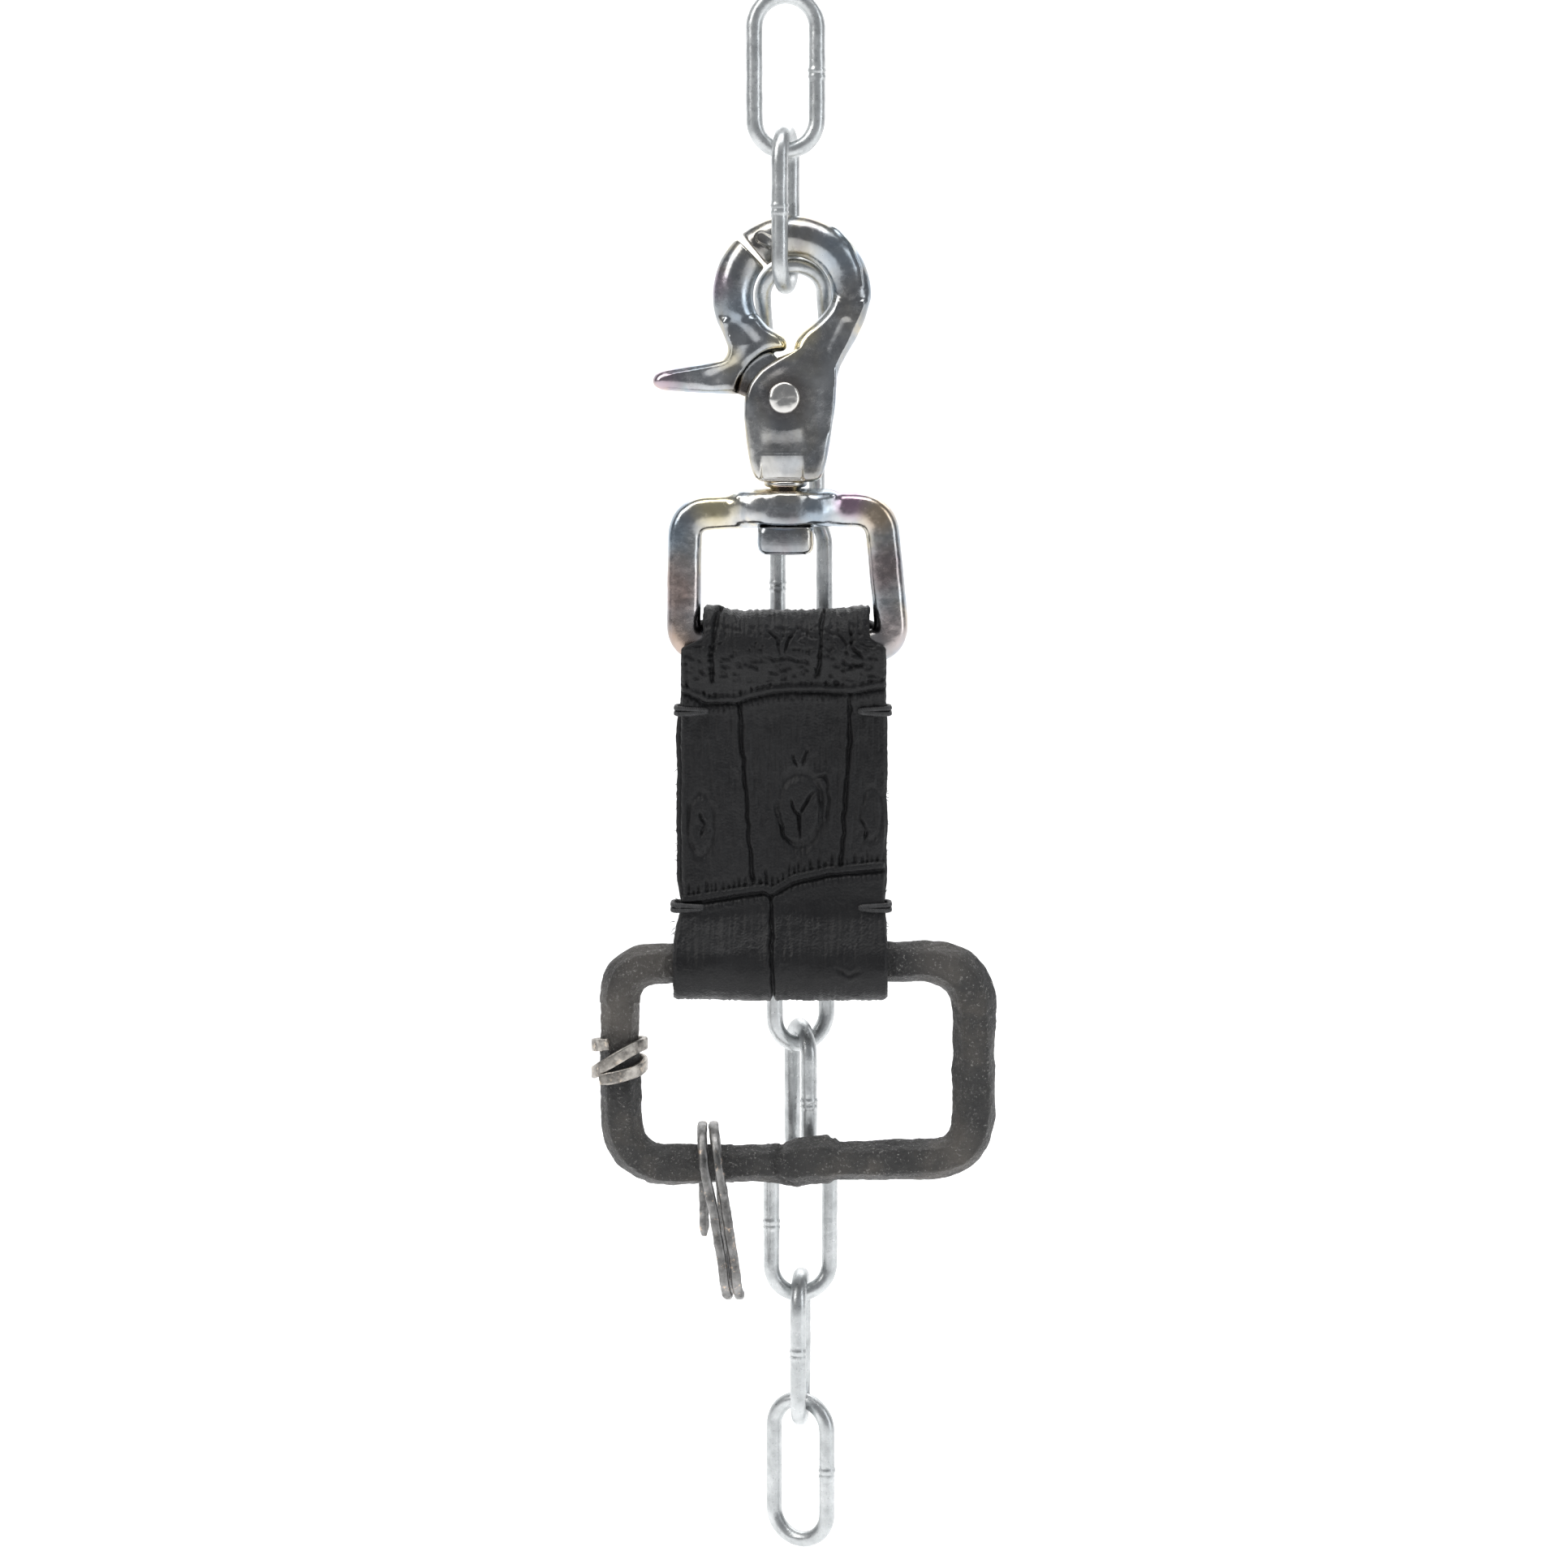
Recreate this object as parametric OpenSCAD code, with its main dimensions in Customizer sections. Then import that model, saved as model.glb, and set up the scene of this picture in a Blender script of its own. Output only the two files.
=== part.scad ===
// Chain-hung swivel scissor snap with a folded leather strap loop, a forged iron ring,
// a wrapped silver band and a hand-bent split ring.
// Millimetres, +Z up, the front of the object faces -Y.
// The origin is the hang point: the underside of the top link's upper crown.

/* [Chain] */
// diameter of the chain's wire
wire_d = 3.2; // [2.5:0.1:4]
// inside length of one link
link_inner = 25.6; // [20:0.1:32]
// centreline radius of a link's round end
crown_r = 5.9; // [5:0.1:8]
// play left between the wires of two links
link_play = 0.3; // [0.1:0.1:1]
// how far the chain hangs behind the hook
chain_back = 13.3; // [8:0.1:18]
// how far the lower chain hangs to the right
chain_right = 3.0; // [0:0.1:8]

/* [Hook] */
// the object's middle plane lies this far behind the chain's top links
object_y = -0.4; // [-1:0.1:1]
// inside radius of the hook's eye
eye_r = 7.4; // [5:0.1:10]
// radial width of the ring-shaped jaw
jaw_w = 7.6; // [5:0.1:10]
// front-to-back thickness of the jaw
jaw_t = 6.4; // [5:0.1:8]
// front-to-back thickness of the body
body_t = 9.4; // [8:0.1:12]
// width of the slot that holds the lever
slot_w = 4.2; // [3:0.1:6]
// radius of the pivot rivet
rivet_r = 2.0; // [1:0.1:3]
// running clearance of the lever and the swivel
running = 0.05; // [0.02:0.01:0.1]

/* [Swivel frame] */
// thickness of the frame's legs
frame_d = 6.6; // [5:0.1:8]
// radius of the stud that the frame turns on
stud_r = 3.0; // [2:0.1:4]
// radius of the collar
collar_r = 6.9; // [5:0.1:9]

/* [Strap] */
// width of the strap
strap_w = 40.4; // [20:0.2:50]
// thickness of one layer of leather
leather_t = 1.9; // [1:0.1:3]
// thickness of the stitching thread
thread_d = 0.9; // [0.5:0.1:1.5]
// how far the strap can swing forward on the frame's bar
strap_swing = 30; // [0:5:45]

/* [Iron ring] */
// width across the flats of the forged bar
bar_w = 7.2; // [5:0.1:9]
// thickness of the split ring's wire
split_d = 2.0; // [1:0.1:3]
// width of the silver strip
band_w = 2.5; // [1:0.1:5]
// thickness of the silver strip
band_t = 1.0; // [0.5:0.1:2]

/* [Hidden] */
wr = wire_d / 2;
span = link_inner + wire_d;                // between the centres of the two crowns
pitch = link_inner - link_play;            // from one link to the next
eye = [1.2, -54.3];                        // centre of the hook's eye
pivot = [-0.3, -73.4];                     // the rivet
jaw_mid = eye_r + jaw_w / 2;
bar_z = -120.9;                            // the frame's bottom bar
lower_z = -182.4;                          // the iron ring's top bar
floor_z = -222.0;                          // the iron ring's bottom bar
ring_l = -32.2;
ring_r = 36.5;
hex_r = bar_w / 2 / cos(30);

// link 3 rolls back in link 2's crown so that it clears the hook; the rest hang straight down behind it
crown3 = [1.2, 1.15, wr - 2 * pitch + 0.3];
lean_back = 25;
lean_side = 3.2;
crown4 = [chain_right, chain_back, -71.05];

// ---------- helpers ----------
module pole(p, q, r, sides = 0) {
    d = q - p;
    translate(p) rotate([0, acos(d[2] / norm(d)), atan2(d[1], d[0])])
        cylinder(h = norm(d), r = r, $fn = sides == 0 ? 48 : sides);
}

// one welded link hanging from the centre of its upper crown
module link() {
    for (end = [0, 1])
        translate([0, 0, end == 0 ? -crown_r : -span + crown_r])
            rotate([90, 0, 0]) rotate([0, 0, end * 180])
                rotate_extrude(angle = 180, $fn = 96) translate([crown_r, 0]) circle(r = wr, $fn = 48);
    for (side = [-1, 1])
        translate([side * crown_r, 0, -span + crown_r]) cylinder(h = span - 2 * crown_r, r = wr, $fn = 48);
    // the weld halfway down one leg
    translate([crown_r, 0, -span / 2 - 0.6]) cylinder(h = 1.2, r = wr + 0.18, $fn = 48);
}

module hung_link(at, turn) {
    color([0.78, 0.79, 0.8]) translate(at) rotate([0, 0, turn]) link();
}

module leaning_link(at, turn) {
    color([0.78, 0.79, 0.8]) translate(at) rotate([lean_back, 0, 0]) rotate([0, -lean_side, 0]) rotate([0, 0, turn]) link();
}

module lower_link(n, turn) {
    hung_link([chain_right, chain_back, crown4[2] - (n - 4) * pitch], turn);
}

// the section of the jaw, an upright stadium
module jaw_section() {
    r = jaw_t / 2;
    half = jaw_w / 2 - r;
    translate([jaw_mid, 0]) {
        translate([-half, 0]) circle(r = r, $fn = 64);
        translate([half, 0]) circle(r = r, $fn = 64);
        translate([-half, -r]) square([2 * half, 2 * r]);
    }
}

// a piece of the jaw between two angles seen from the front
module jaw(from, to) {
    translate([eye[0], 0, eye[1]]) rotate([90, 0, 0]) rotate([0, 0, from])
        rotate_extrude(angle = to - from, $fn = 128) jaw_section();
}

// an outline in the XZ plane made t thick about the middle plane
module plate(t) {
    translate([0, t / 2, 0]) rotate([90, 0, 0]) linear_extrude(height = t) children();
}

// a swept strip: rings of points joined into one closed surface
module sweep_mesh(rings) {
    n = len(rings[0]);
    m = len(rings);
    polyhedron(
        points = [for (ring = rings) for (p = ring) p],
        faces = concat(
            [[for (k = [0:n - 1]) k]],
            [for (i = [0:m - 2]) for (k = [0:n - 1])
                [i * n + k, (i + 1) * n + k, (i + 1) * n + (k + 1) % n]],
            [for (i = [0:m - 2]) for (k = [0:n - 1])
                [i * n + k, (i + 1) * n + (k + 1) % n, i * n + (k + 1) % n]],
            [[for (k = [n - 1:-1:0]) (m - 1) * n + k]]),
        convexity = 8);
}

// ---------- chain ----------
module chain_link_01() { hung_link([0, 0, wr], 0); }
module chain_link_02() { hung_link([0, 0, wr - pitch], 79); }
module chain_link_03() { leaning_link(crown3, 6.5); }
module chain_link_04() { lower_link(4, 58.5); }
module chain_link_05() { lower_link(5, -40); }
module chain_link_06() { lower_link(6, 43); }
module chain_link_07() { lower_link(7, 126.5); }
module chain_link_08() { lower_link(8, 30); }
module chain_link_09() { lower_link(9, 106); }
module chain_link_10() { lower_link(10, 12); }
module chain_link_11() { lower_link(11, 85); }
module chain_link_12() { lower_link(12, -27); }

// ---------- hook ----------
// the arm that comes down from the jaw's right side
module arm_outline() {
    polygon([[8.7, -54.3], [8.2, -56.4], [6.3, -58.6], [3.4, -60.9], [2.0, -62.6], [1.4, -65.0], [1.4, -72],
             [9.6, -72], [10.3, -68.2], [11.7, -65.2], [13.4, -62.9], [15.2, -58.8], [16.0, -55.6], [16.2, -54.3]]);
}
// the two ears and the block below them
module body_outline(inset = 0) {
    difference() {
        polygon([[1.4, -65.0], [-2.2, -66.3], [-4.9, -68.2], [-6.9, -70.5], [-7.8, -73.1], [-8.0, -76.8],
                 [-7.6, -81.1], [-6.8, -86.2], [-6.0, -88.6], [-4.6, -89.4], [5.6, -89.4], [6.9, -88.6],
                 [8.0, -84.5], [8.8, -79.1], [9.5, -74.8], [9.7, -69.9], [9.2, -67.6], [6.4, -65.6], [3.6, -64.6]]);
    }
}

module hook_body() {
    color([0.33, 0.33, 0.34]) translate([0, object_y, 0]) difference() {
        union() {
            jaw(-4, 129.5);
            plate(jaw_t - 1.6) arm_outline();
            // the arm's edges are rounded off
            plate(jaw_t) translate([9.0, -63]) scale([0.86, 0.94]) translate([-9.0, 63]) arm_outline();
            // rounded outer edge of the arm
            plate(body_t - 2.0) body_outline();
            // the two raised cheeks
            plate(body_t) translate([0.85, -77.3]) scale([0.88, 0.93]) translate([-0.85, 77.3]) body_outline();
        }
        // the slot for the lever, open to the left
        translate([-14, -slot_w / 2, -85.5]) cube([19.8, slot_w, 21.2]);
        // the rivet's hole
        translate([pivot[0], -10, pivot[1]]) rotate([-90, 0, 0]) cylinder(h = 20, r = rivet_r, $fn = 64);
        // the stud's socket
        translate([0, 0, -93]) cylinder(h = 6.0, r = stud_r, $fn = 64);
        // the bevelled patch below the rivet, front and back
        for (side = [-1, 1])
            translate([-0.6 - 3.6, side * (body_t / 2 + 0.6) - 1, -86.6]) cube([7.2, 2, 6.2]);
    }
}

module lever_outline() {
    polygon([[-13.2, -58.2], [-11.9, -61.5], [-10.6, -64.5], [-10.8, -66.5], [-15.6, -67.1], [-20.7, -67.9],
             [-24.0, -68.5], [-25.4, -69.6], [-25.4, -71.1], [-23.6, -72.1], [-15.6, -72.7], [-10.3, -72.8],
             [-8.6, -73.3], [-6, -70], [-4, -66], [0.4, -64.9], [0.5, -63.4], [-0.6, -61.6], [-3.4, -60.4],
             [-5.6, -57.4]]);
}

module trigger_lever() {
    color([0.33, 0.33, 0.34]) translate([0, object_y, 0]) difference() {
        union() {
            difference() {
                union() {
                    jaw(133.5, 204);
                    plate(jaw_t) lever_outline();
                }
                // clearance around the ears
                translate([pivot[0], -10, pivot[1]]) rotate([-90, 0, 0]) cylinder(h = 20, r = 8.65, $fn = 96);
            }
            // the web that runs in the slot
            plate(slot_w - 0.6) union() {
                translate(pivot) circle(r = 5.2, $fn = 64);
                polygon([[-3.6, -77.2], [3.0, -77.0], [2.4, -82.4], [-1.6, -82.4]]);
                polygon([[-5.4, -74.0], [-9.4, -72.9], [-10.4, -68.0], [-5.0, -64.9], [-2.6, -64.8], [2.6, -69.3]]);
            }
        }
        translate([pivot[0], -10, pivot[1]]) rotate([-90, 0, 0])
            cylinder(h = 20, r = rivet_r + running, $fn = 64);
        // the pocket for the coil spring
        translate([pivot[0], -slot_w / 2 - 0.1, pivot[1]]) rotate([-90, 0, 0]) cylinder(h = 1.9, r = 3.9, $fn = 64);
    }
}

module trigger_spring() {
    color([0.5, 0.5, 0.52]) translate([pivot[0], object_y, pivot[1]])
        for (turn = [0:1])
            translate([0, -slot_w / 2 + 0.55 + turn * 0.65, 0]) rotate([90, 0, 0])
                rotate_extrude($fn = 96) translate([3.0, 0]) circle(r = 0.4, $fn = 24);
}

module pivot_rivet() {
    head = body_t / 2;
    color([0.75, 0.73, 0.7]) translate([pivot[0], object_y, pivot[1]]) rotate([90, 0, 0]) {
        cylinder(h = 2 * head, r = rivet_r, center = true, $fn = 64);
        for (side = [0, 1]) mirror([0, 0, side]) translate([0, 0, head]) {
            cylinder(h = 0.3, r = 2.95, $fn = 64);
            translate([0, 0, 0.3]) cylinder(h = 0.5, r1 = 2.95, r2 = 2.0, $fn = 64);
        }
    }
}

module swivel_stud() {
    color([0.3, 0.3, 0.31]) translate([0, object_y, 0]) {
        translate([0, 0, -99]) cylinder(h = 12.0, r = stud_r, $fn = 64);
        translate([0, 0, -90.4]) cylinder(h = 1.0, r = 4.1, $fn = 64);
        translate([0, 0, -102.0]) intersection() {
            translate([-5.4, -5.0, 0]) cube([10.8, 10.0, 4.2]);
            cylinder(h = 4.2, r = 6.4, $fn = 64);
        }
        translate([0, 0, -103.2]) cylinder(h = 1.2, r1 = 4.2, r2 = 5.0, $fn = 64);
    }
}

// ---------- swivel frame ----------
// a quarter bend of round bar, and straight pieces of it
module round_corner(at, radius, from, r) {
    translate([at[0], 0, at[1]]) rotate([90, 0, 0]) rotate([0, 0, from])
        rotate_extrude(angle = 90, $fn = 96) translate([radius, 0]) circle(r = r, $fn = 48);
}

module swivel_frame() {
    r = frame_d / 2;
    left = -19.4; right = 19.7; top = -95.2;
    tl = 5.2; tr = 6.0; low = 4.2;
    color([0.34, 0.34, 0.35]) translate([0, object_y, 0]) difference() {
        union() {
            round_corner([left + tl, top - tl], tl, 90, r);
            round_corner([right - tr, top - tr], tr, 0, r);
            round_corner([left + low, bar_z + low], low, 180, r);
            round_corner([right - low, bar_z + low], low, 270, r);
            translate([left + tl, 0, top]) rotate([0, 90, 0]) cylinder(h = right - left - tl - tr, r = r, $fn = 48);
            translate([left + low, 0, bar_z]) rotate([0, 90, 0]) cylinder(h = right - left - 2 * low, r = r, $fn = 48);
            translate([left, 0, bar_z + low]) cylinder(h = top - tl - bar_z - low, r = r, $fn = 48);
            translate([right, 0, bar_z + low]) cylinder(h = top - tr - bar_z - low, r = r, $fn = 48);
            translate([0, 0, -97.8]) cylinder(h = 6.2, r = collar_r, $fn = 96);
            translate([0, 0, -91.6]) cylinder(h = 0.7, r1 = collar_r, r2 = 5.2, $fn = 96);
        }
        // the bore that the stud turns in
        translate([0, 0, -99.5]) cylinder(h = 10, r = stud_r + running, $fn = 64);
        // a flat face below the collar, clear of the stud's head
        translate([0, 0, -106.2]) cylinder(h = 8.4, r = 7.4, $fn = 96);
    }
}

// ---------- strap ----------
// the strap's outline seen from its side: round over the frame's bar, narrow between the
// stitches and round again under the iron ring's bar
function strap_outline(top_r, low_r, front, back) = concat(
    [for (a = [-30:6:210]) [top_r * cos(a), bar_z + top_r * sin(a)]],
    [[-front, -133.0], [-front, -171.8]],
    [for (a = [150:6:390]) [low_r * cos(a), lower_z + low_r * sin(a)]],
    [[back, -171.8], [back, -133.0]]);

module strap_run(top_r, low_r, front, back, start, length) {
    translate([start, 0, 0]) rotate([90, 0, 90]) linear_extrude(height = length)
        polygon(strap_outline(top_r, low_r, front, back));
}

module leather_strap() {
    start = -strap_w / 2 - 0.6;
    color([0.1, 0.1, 0.11]) translate([0, object_y, 0]) difference() {
        strap_run(6.4, 7.4, 2.15, 2.6, start, strap_w);
        strap_run(4.3, 5.3, 0.25, 0.25, start - 1, strap_w + 2);
        // notches at the top corners, where the frame's legs rise out of the loop
        for (x = [[-30, 14.2], [16.1, 14]])
            translate([x[0], 0, bar_z]) rotate([90, 0, 90]) linear_extrude(height = x[1])
                polygon([[3.6, 9], [3.6, 0], [-3.6 * cos(strap_swing), -3.6 * sin(strap_swing)],
                         [-3.6 * cos(strap_swing) - 12 * sin(strap_swing), -3.6 * sin(strap_swing) + 12 * cos(strap_swing)],
                         [0, 12]]);
        // the holes that the thread goes through
        for (x = [5.6, strap_w - 5.6]) for (z = [-133.4, -170.9])
            translate([start + x, -6, z]) rotate([-90, 0, 0]) cylinder(h = 12, r = thread_d / 2 + 0.15, $fn = 32);
    }
}

// thread that runs through the hole and twice over the strap's edge
module stitch(side, z) {
    r = thread_d / 2;
    edge = side * strap_w / 2 - 0.6;
    hole = edge - side * 5.6;
    out = edge + side * (r + 0.15);
    front = -2.15 - r - 0.1;
    back = 2.6 + r + 0.1;
    color([0.06, 0.06, 0.06]) translate([0, object_y, 0]) {
        translate([hole, front - 0.1, z]) rotate([-90, 0, 0]) cylinder(h = back - front + 0.2, r = r, $fn = 24);
        for (k = [0, 1]) {
            low = z + 0.62 - k * 1.24;
            for (y = [front, back])
                translate([min(hole, out) - r, y - 0.7 * r, low - 0.7 * r]) cube([abs(out - hole) + 2 * r, 1.4 * r, 1.4 * r]);
            translate([out - 0.7 * r, front, low - 0.7 * r]) cube([1.4 * r, back - front, 1.4 * r]);
        }
        for (y = [front, back])
            translate([hole - r, y - 0.7 * r, z - 0.7]) cube([2 * r, 1.4 * r, 1.4]);
    }
}
module stitch_upper_left() { stitch(-1, -133.4); }
module stitch_upper_right() { stitch(1, -133.4); }
module stitch_lower_left() { stitch(-1, -170.9); }
module stitch_lower_right() { stitch(1, -170.9); }

// ---------- iron ring ----------
module hex_section() { rotate([0, 0, 0]) circle(r = hex_r, $fn = 6); }

module hex_corner(at, radius, from) {
    translate([at[0], 0, at[1]]) rotate([90, 0, 0]) rotate([0, 0, from])
        rotate_extrude(angle = 90, $fn = 72) translate([radius, 0]) hex_section();
}
module hex_bar_x(x0, x1, z) {
    translate([x0, 0, z]) rotate([0, 90, 0]) linear_extrude(height = x1 - x0) hex_section();
}
module hex_bar_z(z0, z1, x) {
    translate([x, 0, z0]) linear_extrude(height = z1 - z0) hex_section();
}

module iron_ring() {
    tl = 7.4; tr = 9.6; bl = 9.4; br = 8.4;
    color([0.2, 0.2, 0.2]) translate([0, object_y, 0]) {
        hex_corner([ring_l + tl, lower_z - tl], tl, 90);
        hex_corner([ring_r - tr, lower_z - tr], tr, 0);
        hex_corner([ring_l + bl, floor_z + bl], bl, 180);
        hex_corner([ring_r - br, floor_z + br], br, 270);
        hex_bar_x(ring_l + tl - 0.05, ring_r - tr + 0.05, lower_z);
        hex_bar_x(ring_l + bl - 0.05, ring_r - br + 0.05, floor_z);
        hex_bar_z(floor_z + bl - 0.05, lower_z - tl + 0.05, ring_l);
        hex_bar_z(floor_z + br - 0.05, lower_z - tr + 0.05, ring_r);
        // the lap weld: a raised scarf on the bottom bar
        translate([1.6, 0, floor_z]) rotate([0, 90, 0]) cylinder(h = 8.4, r1 = hex_r - 0.2, r2 = hex_r + 0.5, $fn = 6);
        translate([10.0, 0, floor_z]) rotate([0, 90, 0]) cylinder(h = 2.4, r1 = hex_r + 0.5, r2 = hex_r - 0.3, $fn = 6);
    }
}

// flat strip wound twice around the ring's left bar
module silver_band() {
    turns = 2.05;
    steps = 60;
    inner = 4.35;
    rings = [for (i = [0:steps])
        let (t = i / steps, a = 250 - 360 * turns * t, dip = 1.5 * cos(a * 1 + 20),
             z = -197.3 - 7.2 * t + dip, c = cos(a), s = sin(a), spring_off = t > 0.92 ? (t - 0.92) * 7 : t < 0.05 ? (0.05 - t) * 9 : 0,
             layer = inner + spring_off)
        [for (q = [[0, 1], [1, 1], [1, -1], [0, -1]])
            [(layer + q[0] * band_t) * c, (layer + q[0] * band_t) * s, z + q[1] * band_w / 2]]];
    color([0.62, 0.6, 0.56]) translate([ring_l, object_y, 0]) sweep_mesh(rings);
}

// position along an oblong loop: 0 is low on the back leg, going up and over to the front
loop_r = 7.2;
loop_len = 18.9;
arc_len = PI * loop_r;
lap = 2 * loop_len + 2 * arc_len;
function loop_at(u) =
    let (v = u - lap * floor(u / lap))
    v < loop_len ? [loop_r, -loop_len + v]
    : v < loop_len + arc_len ? let (a = (v - loop_len) / arc_len * 180) [loop_r * cos(a), loop_r * sin(a)]
    : v < 2 * loop_len + arc_len ? [-loop_r, -(v - loop_len - arc_len)]
    : let (a = (v - 2 * loop_len - arc_len) / arc_len * 180) [-loop_r * cos(a), -loop_len - loop_r * sin(a)];

module split_ring() {
    start = 2.6;
    stop = lap + 2 * loop_len + arc_len + 11.0;
    steps = 116;
    sides = 10;
    step = (stop - start) / steps;
    centre = function (u) let (p = loop_at(u), f = (u - start) / (stop - start))
        [-16.2 + 4.6 * f + 0.07 * -(p[1] + 9.0), p[0], p[1]];
    rings = [for (i = [0:steps])
        let (u = start + i * step, c = centre(u), d0 = centre(u + 0.2) - centre(u - 0.2), d = d0 / norm(d0),
             n = cross([1, 0, 0], d) / norm(cross([1, 0, 0], d)), b = cross(d, n))
        [for (k = [0:sides - 1]) c + (split_d / 2) * (cos(k * 360 / sides) * n + sin(k * 360 / sides) * b)]];
    color([0.3, 0.3, 0.3]) translate([0, object_y, floor_z]) sweep_mesh(rings);
}

chain_link_01();
chain_link_02();
chain_link_03();
chain_link_04();
chain_link_05();
chain_link_06();
chain_link_07();
chain_link_08();
chain_link_09();
chain_link_10();
chain_link_11();
chain_link_12();
hook_body();
trigger_lever();
trigger_spring();
pivot_rivet();
swivel_stud();
swivel_frame();
leather_strap();
stitch_upper_left();
stitch_upper_right();
stitch_lower_left();
stitch_lower_right();
iron_ring();
silver_band();
split_ring();
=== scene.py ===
"""A chain-hung swivel snap with a leather strap loop, a forged iron ring, a silver band and a split ring.

Lengths in the helpers are millimetres; mesh_object() turns them into metres.
"""

import math

import bmesh
import bpy
import numpy as np
from mathutils import Matrix, Vector


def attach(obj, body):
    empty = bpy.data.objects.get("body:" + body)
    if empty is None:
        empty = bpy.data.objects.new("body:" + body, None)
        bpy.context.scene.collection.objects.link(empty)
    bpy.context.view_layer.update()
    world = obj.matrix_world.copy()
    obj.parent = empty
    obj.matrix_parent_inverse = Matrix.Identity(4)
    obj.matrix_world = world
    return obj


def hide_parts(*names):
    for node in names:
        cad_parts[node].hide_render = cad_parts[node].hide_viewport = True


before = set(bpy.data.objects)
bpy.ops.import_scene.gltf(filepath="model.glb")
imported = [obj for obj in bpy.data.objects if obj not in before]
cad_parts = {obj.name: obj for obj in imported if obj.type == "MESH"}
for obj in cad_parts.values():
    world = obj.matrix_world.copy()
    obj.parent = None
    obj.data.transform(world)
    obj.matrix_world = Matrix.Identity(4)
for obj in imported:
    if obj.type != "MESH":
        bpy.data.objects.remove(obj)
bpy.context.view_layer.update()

MM = 0.001

# ---------------------------------------------------------------- sizes shared with the CAD
WIRE_R = 1.6
LINK_INNER = 25.6
CROWN_R = 5.9
LINK_PLAY = 0.3
SPAN = LINK_INNER + 2 * WIRE_R
PITCH = LINK_INNER - LINK_PLAY
CHAIN_X, CHAIN_Y = 3.0, 13.3
OBJECT_Y = -0.4
EYE = (1.2, -54.3)
PIVOT = (-0.3, -73.4)
BAR_Z = -120.9
LOWER_Z = -182.4
FLOOR_Z = -222.0
RING_L, RING_R = -32.2, 36.5
SLOT_HALF = 2.1
JAW_MID = 11.2
STRAP_MIDDLE = -150.0


# ---------------------------------------------------------------- numbers
def hash3(ix, iy, iz, seed):
    """A repeatable value from 0 to 1 at each whole-numbered point."""
    n = (ix * 73856093) ^ (iy * 19349663) ^ (iz * 83492791) ^ (seed * 2654435761 & 0x7FFFFFFF)
    n = (n ^ (n >> 13)) * 1274126177 & 0x7FFFFFFF
    n = (n ^ (n >> 11)) * 668265263 & 0x7FFFFFFF
    return (n & 0xFFFFF) / float(0xFFFFF)


def noise(p, size, seed=0):
    """Smooth noise from -1 to 1 with features about size across."""
    q = np.asarray(p, float) / size + 1000.0
    i = np.floor(q).astype(np.int64)
    f = q - i
    f = f * f * (3 - 2 * f)
    total = 0
    for dx in (0, 1):
        for dy in (0, 1):
            for dz in (0, 1):
                w = (
                    (f[..., 0] if dx else 1 - f[..., 0])
                    * (f[..., 1] if dy else 1 - f[..., 1])
                    * (f[..., 2] if dz else 1 - f[..., 2])
                )
                total = total + w * hash3(i[..., 0] + dx, i[..., 1] + dy, i[..., 2] + dz, seed)
    return total * 2 - 1


def smooth(a, b, x):
    t = np.clip((x - a) / (b - a), 0, 1)
    return t * t * (3 - 2 * t)


def line_distance(x, y, points):
    """Distance of each (x, y) from a polyline, and how far along it the nearest point is, 0 to 1."""
    best = np.full(np.shape(x), 1e9)
    along = np.zeros(np.shape(x))
    pts = np.asarray(points, float)
    lengths = np.hypot(*(pts[1:] - pts[:-1]).T)
    total, done = lengths.sum(), 0.0
    for a, b, length in zip(pts[:-1], pts[1:], lengths):
        d = b - a
        t = np.clip(((x - a[0]) * d[0] + (y - a[1]) * d[1]) / max(length * length, 1e-9), 0, 1)
        dist = np.hypot(x - a[0] - t * d[0], y - a[1] - t * d[1])
        nearer = dist < best
        best = np.where(nearer, dist, best)
        along = np.where(nearer, (done + t * length) / total, along)
        done += length
    return best, along


def resample(points, step, closed=False):
    """The polyline's points again, evenly spaced."""
    pts = np.asarray(points, float)
    if closed:
        pts = np.vstack([pts, pts[:1]])
    d = np.r_[0, np.cumsum(np.linalg.norm(np.diff(pts, axis=0), axis=1))]
    n = max(2, int(round(d[-1] / step)))
    s = np.linspace(0, d[-1], n + 1)
    out = np.stack([np.interp(s, d, pts[:, k]) for k in range(pts.shape[1])], 1)
    return out[:-1] if closed else out


def rounded(points, radius, segments=6, closed=False):
    """A polyline with its corners rounded off."""
    pts = [np.asarray(p, float) for p in points]
    n = len(pts)
    radii = radius if isinstance(radius, (list, tuple)) else [radius] * n
    out = []
    for i in range(n):
        if not closed and i in (0, n - 1):
            out.append(pts[i])
            continue
        a, b, c = pts[i - 1], pts[i], pts[(i + 1) % n]
        u, v = (a - b) / np.linalg.norm(a - b), (c - b) / np.linalg.norm(c - b)
        half = math.acos(float(np.clip(np.dot(u, v), -1, 1))) / 2
        if half > math.pi / 2 - 0.02:
            out.append(b)
            continue
        cut = min(radii[i] / math.tan(half), 0.49 * np.linalg.norm(a - b), 0.49 * np.linalg.norm(c - b))
        p, q = b + u * cut, b + v * cut
        for k in range(segments + 1):
            t = k / segments
            out.append((1 - t) ** 2 * p + 2 * t * (1 - t) * b + t * t * q)
    return np.array(out)


# ---------------------------------------------------------------- meshes
def ring_faces(rings, sides, closed=False):
    """The faces between rings of points that follow one another."""
    faces = []
    for i in range(rings if closed else rings - 1):
        j = (i + 1) % rings
        for k in range(sides):
            l = (k + 1) % sides
            faces.append((i * sides + k, i * sides + l, j * sides + l, j * sides + k))
    return faces


def end_caps(rings, sides):
    return [tuple(range(sides))[::-1], tuple((rings - 1) * sides + k for k in range(sides))]


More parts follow.
